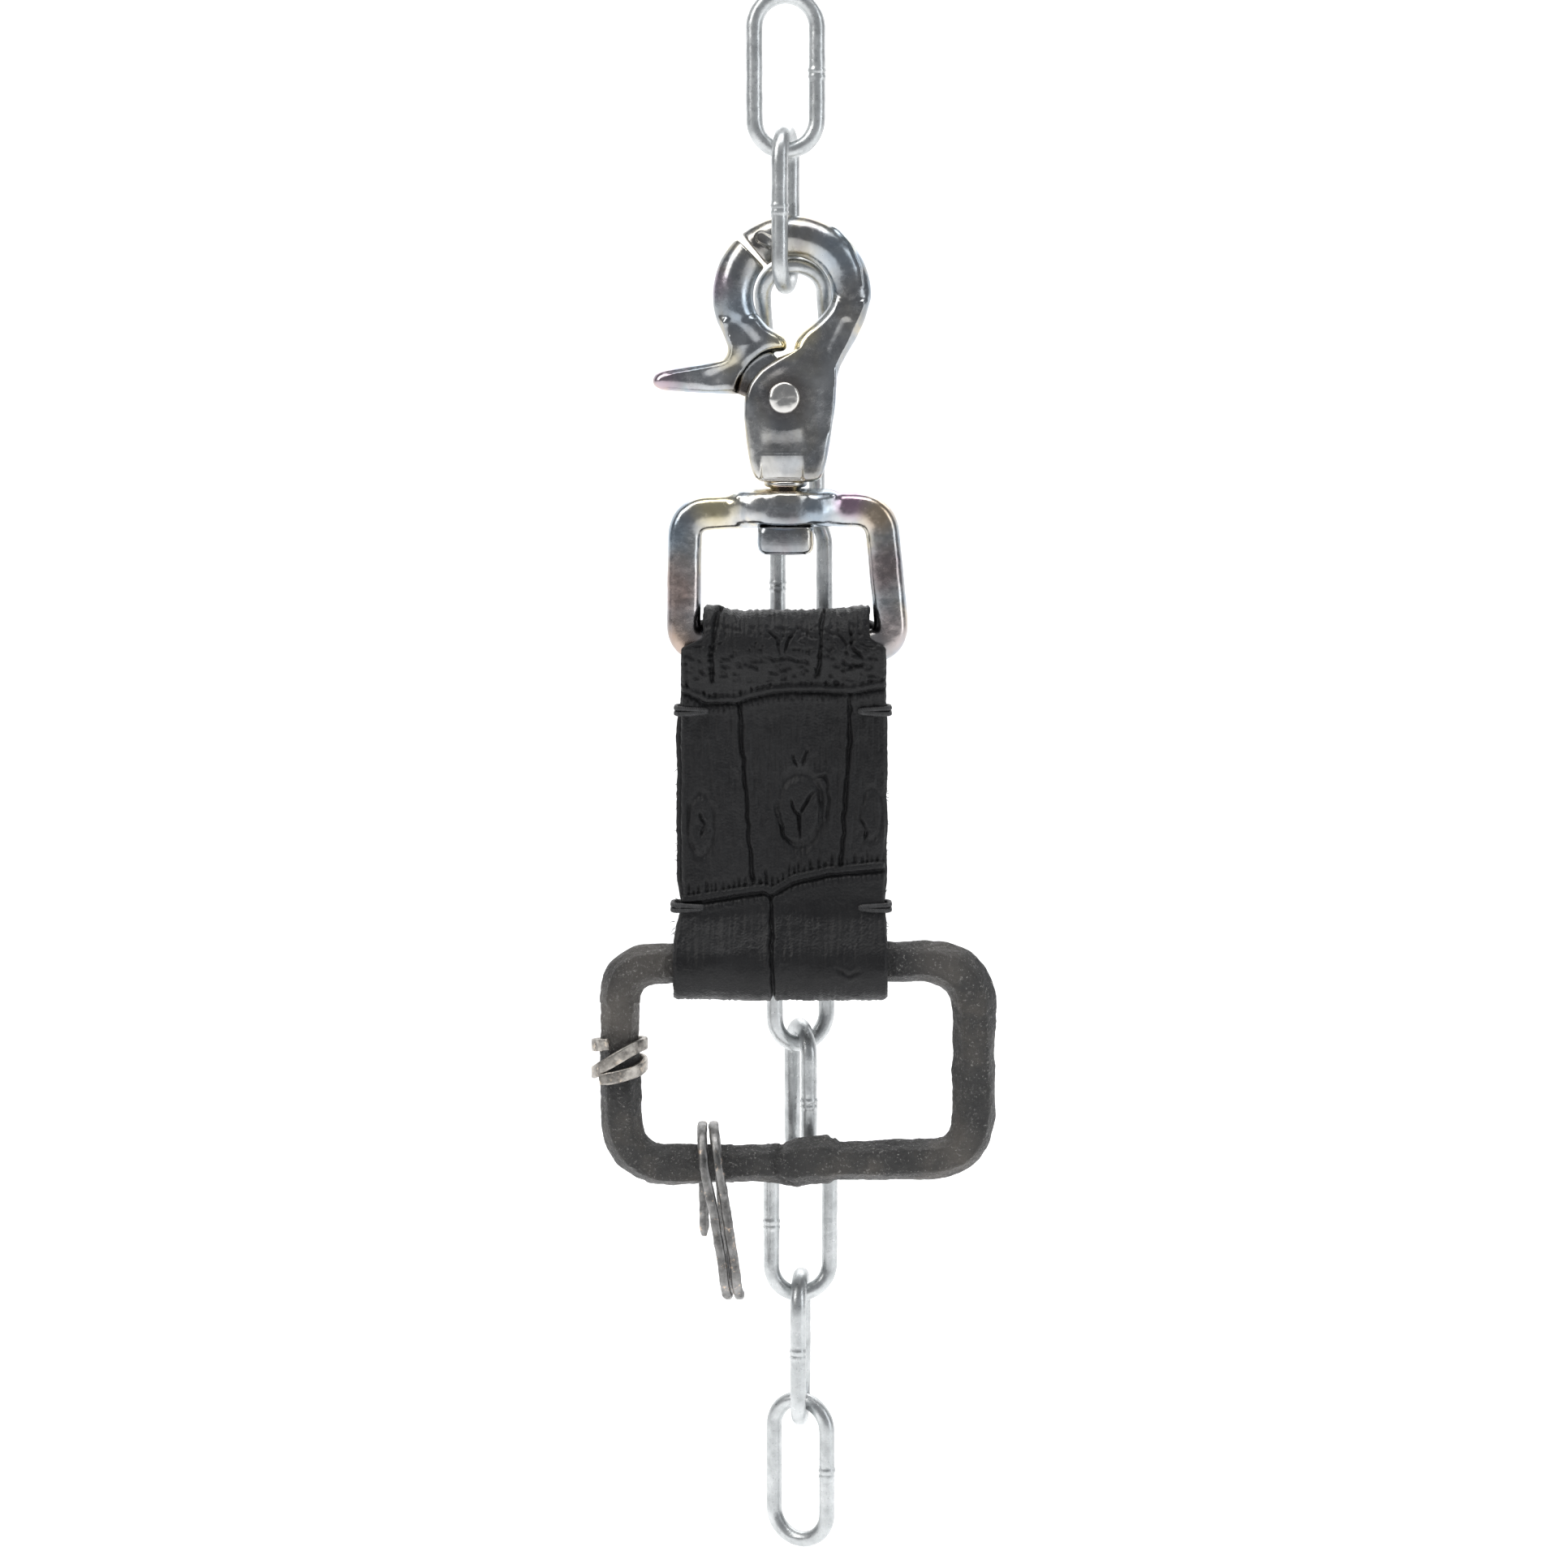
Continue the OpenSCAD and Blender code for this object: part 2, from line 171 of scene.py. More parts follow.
def outwards(verts, path, sides):
    """Unit vectors from a swept tube's path to its points."""
    away = verts - path[np.repeat(np.arange(len(path)), sides)]
    return away / np.linalg.norm(away, axis=1)[:, None]


def face_out(data):
    """Turn the faces of every closed shell outwards."""
    bm = bmesh.new()
    bm.from_mesh(data)
    bmesh.ops.recalc_face_normals(bm, faces=bm.faces)
    bm.to_mesh(data)
    bm.free()


def place(name, data):
    obj = bpy.data.objects.new(name, data)
    bpy.context.scene.collection.objects.link(obj)
    return obj


def mesh_object(name, verts, faces, material, body, replaces=(), shade=True):
    data = bpy.data.meshes.new(name)
    data.from_pydata((np.asarray(verts, float) * MM).tolist(), [], [tuple(int(k) for k in f) for f in faces])
    data.validate()
    data.update()
    return adopt(name, data, material, body, replaces, shade)


def adopt(name, data, material, body, replaces=(), shade=True):
    obj = place(name, data)
    data.materials.clear()
    data.materials.append(material)
    if shade:
        data.shade_smooth()
    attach(obj, body)
    if replaces:
        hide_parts(*replaces)
    return obj


def frames(path, closed, fixed=None):
    """Tangent, normal and binormal along a path. fixed is a direction that the binormal keeps to."""
    p = np.asarray(path, float)
    if closed:
        t = np.roll(p, -1, 0) - np.roll(p, 1, 0)
    else:
        t = np.gradient(p, axis=0)
    t /= np.linalg.norm(t, axis=1)[:, None]
    b = np.zeros_like(p)
    if fixed is not None:
        b[:] = fixed
    else:
        ref = np.array([0.0, 1.0, 0.0]) if abs(t[0][1]) < 0.9 else np.array([1.0, 0.0, 0.0])
        last = np.cross(t[0], ref)
        last /= np.linalg.norm(last)
        for i in range(len(p)):
            last = last - t[i] * np.dot(last, t[i])
            last /= np.linalg.norm(last)
            b[i] = last
    b = b - t * (b * t).sum(1)[:, None]
    b /= np.linalg.norm(b, axis=1)[:, None]
    return t, np.cross(b, t), b


def sweep(path, section, closed=False, fixed=None):
    """Vertices and faces of a section run along a path.

    section(i, share) gives (m, 2) offsets along the normal and the binormal.
    """
    p = np.asarray(path, float)
    _, n, b = frames(p, closed, fixed)
    rows = []
    for i in range(len(p)):
        s = np.asarray(section(i, i / (len(p) if closed else len(p) - 1)))
        rows.append(p[i] + s[:, :1] * n[i] + s[:, 1:] * b[i])
    m = len(rows[0])
    verts = np.vstack(rows)
    faces = ring_faces(len(p), m, closed)
    if not closed:
        for end, flip in ((0, True), (len(p) - 1, False)):
            centre = len(verts)
            verts = np.vstack([verts, rows[end].mean(0)])
            for k in range(m):
                a, c = end * m + k, end * m + (k + 1) % m
                faces.append((centre, c, a) if flip else (centre, a, c))
    return verts, faces


def oval(rx, ry, sides, power=2.0):
    a = np.linspace(0, 2 * math.pi, sides, endpoint=False)
    c, s = np.cos(a), np.sin(a)
    return np.stack([rx * np.sign(c) * abs(c) ** (2 / power), ry * np.sign(s) * abs(s) ** (2 / power)], 1)


def lathe(profile, at, axis, sides=64):
    """A profile of (radius, height) turned about axis through at."""
    z = Vector(axis).normalized()
    x = z.orthogonal().normalized()
    y = z.cross(x)
    rows = []
    for r, h in profile:
        for k in range(sides):
            a = 2 * math.pi * k / sides
            rows.append(np.array(at) + np.array(z) * h + np.array(x) * r * math.cos(a) + np.array(y) * r * math.sin(a))
    return np.array(rows), ring_faces(len(profile), sides) + end_caps(len(profile), sides)


def inset(outline, amount):
    """An outline moved inwards by amount."""
    p = np.asarray(outline, float)
    area = 0.5 * np.sum(p[:, 0] * np.roll(p[:, 1], -1) - np.roll(p[:, 0], -1) * p[:, 1])
    e = np.roll(p, -1, 0) - p
    e /= np.linalg.norm(e, axis=1)[:, None]
    n = np.stack([-e[:, 1], e[:, 0]], 1) * (1 if area > 0 else -1)
    m = n + np.roll(n, 1, 0)
    m /= np.maximum(np.linalg.norm(m, axis=1), 0.5)[:, None]
    return p + m * amount


def slab(outline, layers):
    """A plate in the XZ plane; layers is [(y, inset)] from front to back."""
    n = len(outline)
    rings = [(y, inset(outline, amount)) for y, amount in layers]
    verts = np.vstack([np.column_stack([q[:, 0], np.full(n, y), q[:, 1]]) for y, q in rings])
    return verts, ring_faces(len(rings), n) + end_caps(len(rings), n)


def both_ways(half):
    """A slab's layers, given from the middle backwards, repeated in front."""
    return [(-y, amount) for y, amount in reversed(half)] + half


def join(parts):
    verts, faces, base = [], [], 0
    for v, f in parts:
        verts.append(np.asarray(v, float))
        faces += [tuple(k + base for k in face) for face in f]
        base += len(v)
    return np.vstack(verts), faces


def fuse(name, parts, voxel, soften):
    """Overlapping closed shells melted into one smooth skin. Returns its mesh, in metres."""
    v, f = join(parts)
    data = bpy.data.meshes.new(name + "_raw")
    data.from_pydata((v * MM).tolist(), [], f)
    face_out(data)
    obj = place(name + "_raw", data)
    remesh = obj.modifiers.new("r", "REMESH")
    remesh.mode = "VOXEL"
    remesh.voxel_size = voxel * MM
    soft = obj.modifiers.new("s", "SMOOTH")
    soft.factor = 0.5
    soft.iterations = soften
    bpy.context.view_layer.update()
    out = bpy.data.meshes.new_from_object(obj.evaluated_get(bpy.context.evaluated_depsgraph_get()))
    out.name = name
    bpy.data.objects.remove(obj)
    return out


def points_of(data):
    p = np.empty(len(data.vertices) * 3)
    data.vertices.foreach_get("co", p)
    n = np.empty(len(data.vertices) * 3)
    data.vertex_normals.foreach_get("vector", n)
    return p.reshape(-1, 3) / MM, n.reshape(-1, 3)


def set_points(data, p):
    data.vertices.foreach_set("co", (p * MM).ravel())
    data.update()


# ---------------------------------------------------------------- materials
def new_material(name):
    m = bpy.data.materials.new(name)
    m.use_nodes = True
    nt = m.node_tree
    return m, Graph(nt), nt.nodes["Principled BSDF"]


class Graph:
    """Small helpers that add shader nodes."""

    def __init__(self, tree):
        self.t = tree
        self.coord = tree.nodes.new("ShaderNodeTexCoord")

    def add(self, kind, **inputs):
        n = self.t.nodes.new(kind)
        for key, value in inputs.items():
            n.inputs[key.replace("_", " ")].default_value = value
        return n

    def link(self, a, b):
        self.t.links.new(a, b)

    def scaled(self, scale):
        m = self.t.nodes.new("ShaderNodeMapping")
        m.inputs["Scale"].default_value = scale
        self.link(self.coord.outputs["Object"], m.inputs["Vector"])
        return m.outputs["Vector"]

    def noise(self, scale, detail=4.0, rough=0.55, vector=None, distortion=0.0):
        n = self.add("ShaderNodeTexNoise", Scale=scale, Detail=detail, Roughness=rough, Distortion=distortion)
        self.link(vector if vector is not None else self.coord.outputs["Object"], n.inputs["Vector"])
        return n.outputs["Fac"]

    def cells(self, scale):
        n = self.add("ShaderNodeTexVoronoi", Scale=scale)
        self.link(self.coord.outputs["Object"], n.inputs["Vector"])
        return n.outputs["Distance"]

    def ramp(self, source, stops):
        r = self.t.nodes.new("ShaderNodeValToRGB")
        e = r.color_ramp.elements
        while len(e) < len(stops):
            e.new(0.5)
        for item, (at, colour) in zip(e, stops):
            item.position = at
            item.color = (*colour, 1)
        self.link(source, r.inputs["Fac"])
        return r.outputs["Color"]

    def fit(self, source, a, b, c, d):
        n = self.t.nodes.new("ShaderNodeMapRange")
        for k, v in enumerate((a, b, c, d)):
            n.inputs[1 + k].default_value = v
        self.link(source, n.inputs[0])
        return n.outputs[0]

    def mix(self, factor, a, b):
        n = self.t.nodes.new("ShaderNodeMix")
        n.data_type = "RGBA"
        if isinstance(factor, float):
            n.inputs[0].default_value = factor
        else:
            self.link(factor, n.inputs[0])
        for socket, value in ((n.inputs[6], a), (n.inputs[7], b)):
            if isinstance(value, tuple):
                socket.default_value = (*value, 1)
            else:
                self.link(value, socket)
        return n.outputs[2]

    def math(self, op, a, b=None):
        n = self.t.nodes.new("ShaderNodeMath")
        n.operation = op
        for socket, value in ((n.inputs[0], a), (n.inputs[1], b)):
            if value is None:
                continue
            if isinstance(value, (int, float)):
                socket.default_value = value
            else:
                self.link(value, socket)
        return n.outputs[0]

    def bump(self, height, strength, distance):
        n = self.add("ShaderNodeBump", Strength=strength, Distance=distance)
        self.link(height, n.inputs["Height"])
        return n.outputs["Normal"]

    def position(self):
        n = self.t.nodes.new("ShaderNodeSeparateXYZ")
        self.link(self.coord.outputs["Object"], n.inputs[0])
        return n.outputs

    def spot(self, cx, cz, radius, weight):
        """A soft round patch seen from the front, centred at X, Z in millimetres."""
        x, _, z = self.position()
        dx = self.math("SUBTRACT", x, cx * MM)
        dz = self.math("SUBTRACT", z, cz * MM)
        d = self.math("SQRT", self.math("ADD", self.math("MULTIPLY", dx, dx), self.math("MULTIPLY", dz, dz)))
        return self.fit(d, radius * 0.35 * MM, radius * MM, weight, 0.0)

    def facing(self):
        """The surface's own direction in the row frame: +-Y faces are 1, edges fall to 0."""
        n = self.t.nodes.new("ShaderNodeSeparateXYZ")
        self.link(self.coord.outputs["Normal"], n.inputs[0])
        return self.math("ABSOLUTE", n.outputs[1])


def zinc():
    m, g, p = new_material("bright_zinc")
    large = g.noise(260, 3)
    fine = g.noise(1500, 4, 0.7)
    speck = g.noise(2600, 2, 0.8)
    base = g.ramp(large, [(0.25, (0.41, 0.425, 0.43)), (0.5, (0.55, 0.57, 0.575)), (0.75, (0.68, 0.695, 0.70))])
    dark = g.fit(speck, 0.60, 0.72, 0.0, 0.55)
    g.link(g.mix(dark, base, (0.25, 0.26, 0.27)), p.inputs["Base Color"])
    g.link(g.fit(fine, 0.3, 0.7, 0.24, 0.42), p.inputs["Roughness"])
    p.inputs["Metallic"].default_value = 0.85
    g.link(g.bump(g.math("ADD", fine, g.math("MULTIPLY", large, 2.0)), 0.35, 0.00012), p.inputs["Normal"])
    return m


def dark_steel(name, tint=1.0, lift=1.0, spots=()):
    """Polished steel darkened by heat, with straw, blue and purple tints and fine scratches, and round spots laid at
    given places: heat tints, and on the hook also painted shade.
    """
    m, g, p = new_material(name)
    cloud = g.noise(95, 4, 0.6, distortion=0.6)
    other = g.noise(70, 3, 0.55, vector=g.scaled((1.0, 1.0, 0.8)), distortion=1.0)
    fine = g.noise(900, 5, 0.7)
    grey = g.ramp(cloud, [(0.28, (0.20, 0.20, 0.205)), (0.48, (0.36, 0.365, 0.37)), (0.68, (0.56, 0.565, 0.57))])
    if lift != 1.0:
        grey = g.mix(lift - 1.0, grey, (0.72, 0.70, 0.67))
    heat = g.ramp(
        other,
        [(0.30, (0.34, 0.26, 0.24)), (0.40, (0.72, 0.62, 0.40)), (0.48, (0.46, 0.47, 0.47)),
        (0.58, (0.30, 0.40, 0.50)), (0.70, (0.46, 0.36, 0.44))],
    )
    edge = g.fit(g.facing(), 0.15, 0.95, 0.70 * tint, 0.10 * tint)
    base = g.mix(edge, grey, heat)
    # heat tints and painted shade at their own places: (X, Z, radius, colour, weight)
    for cx, cz, radius, colour, weight in spots:
        base = g.mix(g.spot(cx, cz, radius, weight), base, colour)
    # dull dark specks and short scratches
    scratch = g.noise(420, 6, 0.75, vector=g.scaled((1.0, 1.0, 0.12)))
    line = g.fit(scratch, 0.62, 0.70, 0.0, 0.35)
    g.link(g.mix(line, base, (0.62, 0.61, 0.60)), p.inputs["Base Color"])
    g.link(g.fit(fine, 0.3, 0.75, 0.13, 0.33), p.inputs["Roughness"])
    p.inputs["Metallic"].default_value = 1.0
    g.link(g.bump(g.math("ADD", g.math("MULTIPLY", fine, 0.6), cloud), 0.22, 0.00018), p.inputs["Normal"])
    return m


def leather():
    m, g, p = new_material("black_embossed_leather")
    broad = g.noise(60, 3)
    grain = g.cells(2100)
    fine = g.noise(3200, 4, 0.7)
    base = g.ramp(broad, [(0.3, (0.0075, 0.0075, 0.0082)), (0.7, (0.0125, 0.0125, 0.0134))])
    dust = g.fit(g.noise(1700, 3, 0.8), 0.68, 0.78, 0.0, 0.35)
    g.link(g.mix(dust, base, (0.10, 0.10, 0.10)), p.inputs["Base Color"])
    g.link(g.fit(g.noise(240, 4), 0.3, 0.7, 0.36, 0.54), p.inputs["Roughness"])
    p.inputs["Specular IOR Level"].default_value = 0.26
    p.inputs["Sheen Weight"].default_value = 0.04
    p.inputs["Sheen Roughness"].default_value = 0.45
    height = g.math("ADD", g.math("MULTIPLY", grain, 0.8), g.math("MULTIPLY", fine, 0.5))
    g.link(g.bump(height, 0.45, 0.00022), p.inputs["Normal"])
    return m


def thread():
    m, g, p = new_material("waxed_black_thread")
    g.link(g.ramp(g.noise(900, 3), [(0.3, (0.016, 0.016, 0.017)), (0.7, (0.045, 0.045, 0.047))]),
        p.inputs["Base Color"])
    p.inputs["Roughness"].default_value = 0.5
    g.link(g.bump(g.noise(4500, 3), 0.4, 0.0001), p.inputs["Normal"])
    return m


def forged(name="forged_black_iron"):
    m, g, p = new_material(name)
    broad = g.noise(85, 4, 0.6)
    sand = g.noise(1900, 4, 0.75)
    pit = g.cells(900)
    base = g.ramp(broad, [(0.3, (0.026, 0.026, 0.027)), (0.55, (0.046, 0.045, 0.044)), (0.75, (0.095, 0.086, 0.076))])
    # pale scale near the silver band and at the top left corner
    for cx, cz, radius, weight in ((-31.5, -192.0, 9.0, 0.5), (-27.0, -181.5, 8.0, 0.4), (30.0, -181.0, 7.0, 0.3),
        (33.5, -218.0, 6.0, 0.3)):
        base = g.mix(g.spot(cx, cz, radius, weight), base, (0.15, 0.135, 0.12))
    patch = g.math("MULTIPLY", g.fit(g.noise(420, 4, 0.7), 0.50, 0.68, 0.0, 1.0), g.fit(sand, 0.50, 0.64, 0.0, 0.75))
    base = g.mix(patch, base, (0.20, 0.195, 0.185))
    chip = g.fit(sand, 0.60, 0.70, 0.0, 0.85)
    lit = g.mix(chip, base, (0.34, 0.33, 0.31))
    g.link(lit, p.inputs["Base Color"])
    g.link(g.fit(sand, 0.3, 0.7, 0.55, 0.34), p.inputs["Roughness"])
    p.inputs["Metallic"].default_value = 0.45
    height = g.math("ADD", g.math("MULTIPLY", sand, 1.0), g.math("MULTIPLY", pit, 0.7))
    g.link(g.bump(height, 0.8, 0.0004), p.inputs["Normal"])
    return m


def old_silver(name, dark, light, spots, rare=0.56):
    m, g, p = new_material(name)
    broad = g.noise(330, 4, 0.65)
    base = g.ramp(broad, [(0.32, dark), (0.62, light)])
    warm = g.fit(g.noise(520, 3, 0.7), rare, rare + 0.09, 0.0, 0.9)
    g.link(g.mix(warm, base, spots), p.inputs["Base Color"])
    g.link(g.fit(g.noise(1400, 4, 0.7), 0.3, 0.7, 0.24, 0.50), p.inputs["Roughness"])
    p.inputs["Metallic"].default_value = 0.95
    g.link(g.bump(g.noise(1300, 5, 0.7), 0.4, 0.0002), p.inputs["Normal"])
    return m


ZINC = zinc()
# the last of these colours is painted shade: near black, laid in the dish round the rivet, in the dimple at the jaw's
# tip and in the slot where the lever enters the body
GOLD, PURPLE, BLUE, PAINTED_SHADE = (0.80, 0.70, 0.42), (0.50, 0.30, 0.42), (0.26, 0.36, 0.46), (0.09, 0.065, 0.055)
STEEL = dark_steel(
    "heat_tinted_steel_with_painted_shade",
    spots=(
        # the first spot is painted shade, laid in the dish round the rivet
        (-0.3, -73.4, 6.6, PAINTED_SHADE, 0.75), (-0.6, -82.0, 3.6, (0.16, 0.15, 0.14), 0.55), (0.2, -62.8, 4.2, GOLD, 0.55),
        (3.6, -61.0, 3.4, GOLD, 0.5),
        (10.5, -45.2, 6.5, BLUE, 0.45), (-8.6, -56.8, 5.0, BLUE, 0.35), (-13.6, -52.0, 4.0, PURPLE, 0.35),
        (-24.0, -70.0, 5.0, PURPLE, 0.4),
        # the two near-black spots on this line are painted shade: one in the dimple at the jaw's tip, one in the slot
        # where the lever goes into the body
        (-11.0, -66.0, 3.4, GOLD, 0.4), (-5.6, -44.4, 2.4, PAINTED_SHADE, 0.5), (-8.4, -71.6, 2.6, PAINTED_SHADE, 0.7),
    ),
)
FRAME_STEEL = dark_steel(
    "heat_tinted_frame_steel",
    1.15,
    1.08,
    spots=(
        (-13.5, -93.6, 5.5, GOLD, 0.75), (12.5, -93.2, 4.0, PURPLE, 0.75),
        (17.6, -95.5, 4.5, (0.62, 0.44, 0.26), 0.6), (-21.6, -99.0, 5.0, BLUE, 0.5),
        (-22.0, -110.0, 8.0, (0.42, 0.26, 0.20), 0.55), (-21.5, -121.0, 7.0, (0.46, 0.30, 0.20), 0.6),
        (18.5, -106.0, 6.0, (0.30, 0.20, 0.19), 0.5),
        (5.6, -95.0, 3.6, BLUE, 0.5), (21.0, -118.0, 6.0, (0.60, 0.50, 0.47), 0.5),
    ),
)
BRIGHT = dark_steel("bright_rivet_steel", 0.25, 1.75)
LEATHER = leather()
THREAD = thread()
IRON = forged()
SILVER = old_silver("tarnished_silver", (0.10, 0.092, 0.085), (0.50, 0.47, 0.43), (0.66, 0.57, 0.47))
SPLIT = old_silver("dark_tarnished_ring", (0.10, 0.098, 0.095), (0.30, 0.295, 0.29), (0.66, 0.52, 0.40), 0.60)


# ---------------------------------------------------------------- chain
def link_shape(seed):
    """One welded link in the XZ plane, hanging from the centre of its upper crown."""
    half = SPAN / 2 - CROWN_R
    arc = [(CROWN_R * math.cos(a), 0, half + CROWN_R * math.sin(a)) for a in np.linspace(0, math.pi, 29)]
    low = [(-x, 0, -z) for x, _, z in arc]
    left = [(-CROWN_R, 0, z) for z in np.linspace(half, -half, 44)[1:-1]]
    right = [(CROWN_R, 0, z) for z in np.linspace(-half, half, 44)[1:-1]]
    path = np.array(arc + left + low + right)
    centre = np.array([0, 0, -SPAN / 2])

    def section(i, share):
        x, _, z = path[i]
        r = WIRE_R - 0.02
        # a rough weld bead halfway down one leg
        if x > 0 and abs(z) < half:
            r += 0.20 * math.exp(-((z - 0.55) / 0.35) ** 2) + 0.17 * math.exp(-((z + 0.5) / 0.3) ** 2)
            r -= 0.10 * math.exp(-((z - 0.02) / 0.22) ** 2)
        return oval(r, r, 24)

    v, f = sweep(path, section, closed=True, fixed=(0, 1, 0))
    # drawn and hammered a little unevenly, never fatter than the bead
    grow = noise(v, 2.2, seed) * 0.035 + noise(v, 0.8, seed + 5) * 0.018
    bead = (v[:, 0] > 0) & (abs(v[:, 2]) < 1.6)
    rough = noise(v, 0.45, seed + 9) * 0.09
    v = v + outwards(v, path, 24) * (grow - 0.03 + np.where(bead, rough, 0))[:, None]
    return v + centre, f


CROWN = {1: Vector((0, 0, WIRE_R)), 2: Vector((0, 0, WIRE_R - PITCH)), 3: Vector((1.2, 1.15, WIRE_R - 2 * PITCH + 0.3)),
         4: Vector((CHAIN_X, CHAIN_Y, -71.05))}
for n in range(5, 13):
    CROWN[n] = CROWN[n - 1] - Vector((0, 0, PITCH))
LEAN_BACK, LEAN_SIDE = 25, 3.2
LINK_TURNS = {1: 0, 2: 79, 3: 6.5, 4: 58.5, 5: -40, 6: 43, 7: 126.5, 8: 30, 9: 106, 10: 12, 11: 85, 12: -27}
# links whose weld shows on the other leg
WELD_FLIPPED = {2, 5, 9, 10, 11}


def chain():
    for n, turn in LINK_TURNS.items():
        v, f = link_shape(11 * n)
        if n in WELD_FLIPPED:
            v = v * np.array([-1, -1, 1])
        spin = Matrix.Rotation(math.radians(turn), 4, "Z")
        place = Matrix.Translation(CROWN[n]) @ spin
        if n == 3:
            # it rolls back in the link above, so that the rest of the chain hangs behind the hook
            place = (Matrix.Translation(CROWN[n]) @ Matrix.Rotation(math.radians(LEAN_BACK), 4, "X")
                     @ Matrix.Rotation(math.radians(-LEAN_SIDE), 4, "Y") @ spin)
        m = np.array(place)
        v = v @ m[:3, :3].T + m[:3, 3]
        mesh_object(f"link_{n:02d}", v, f, ZINC, f"chain_{n:02d}", (f"chain_link_{n:02d}",))


# ---------------------------------------------------------------- hook and trigger
ARM = [(8.7, -54.3), (8.2, -56.4), (6.3, -58.6), (3.4, -60.9), (2.0, -62.6), (1.3, -65.2), (0.8, -72), (9.4, -73),
       (9.8, -69.5), (10.4, -67.6), (11.7, -65.2), (13.4, -62.4), (15.0, -58.9), (15.9, -55.8), (16.1, -54.3)]
EAR = [(2.6, -64.2), (0.4, -65.2), (-2.2, -66.3), (-4.9, -68.2), (-6.9, -70.5), (-7.8, -73.1), (-8.0, -76.8),
    (-7.6, -81.1),
       (-6.8, -86.2), (-6.0, -88.6), (-4.6, -89.4), (5.6, -89.4), (6.9, -88.6), (8.0, -84.5), (8.8, -79.1),
       (9.5, -74.8),
       (9.7, -69.9), (9.4, -67.4), (7.4, -65.4), (4.8, -64.0)]
LEVER = [(-13.2, -58.2), (-11.9, -61.5), (-10.8, -64.3), (-11.4, -66.2), (-15.6, -67.1), (-20.7, -67.9), (-24.0, -68.5),
         (-25.3, -69.6), (-25.3, -71.1), (-23.6, -72.1), (-15.6, -72.7), (-10.3, -72.8), (-8.95, -73.1), (-8.6, -71.0),
         (-7.7, -68.8), (-6.3, -67.0), (-4.4, -65.6), (-2.4, -64.9), (0.0, -64.8), (0.4, -64.2), (0.3, -63.0),
         (-0.6, -61.6),
         (-3.4, -60.2), (-5.6, -57.4)]


def jaw_path(start, stop, count):
    a = np.radians(np.linspace(start, stop, count))
    x, z = EYE[0] + JAW_MID * np.cos(a), EYE[1] + JAW_MID * np.sin(a)
    return np.stack([x, np.full(count, OBJECT_Y), z], 1)


def smooth_outline(points, step=0.35):
    """A closed outline with softened corners, evenly spaced."""
    p = resample(points, step, closed=True)
    for _ in range(6):
        p = 0.5 * p + 0.25 * (np.roll(p, 1, 0) + np.roll(p, -1, 0))
    return p


def at_object(part):
    v, f = part
    return np.asarray(v) + np.array([0, OBJECT_Y, 0]), f


def jaw(start, stop, buried):
    """The ring-shaped jaw: a softly ridged section that shrinks away inside the part it grows out of."""
    count = max(12, int(abs(stop - start) * 0.9))
    path = jaw_path(start, stop, count)

    def section(i, share):
        a = start + (stop - start) * share
        k = 1 - 0.55 * smooth(0, 30, buried - a if buried < 90 else a - buried)
        return oval(3.85 * k, 3.25 * k, 40, 1.8)

    return sweep(path, section, fixed=(0, 1, 0))


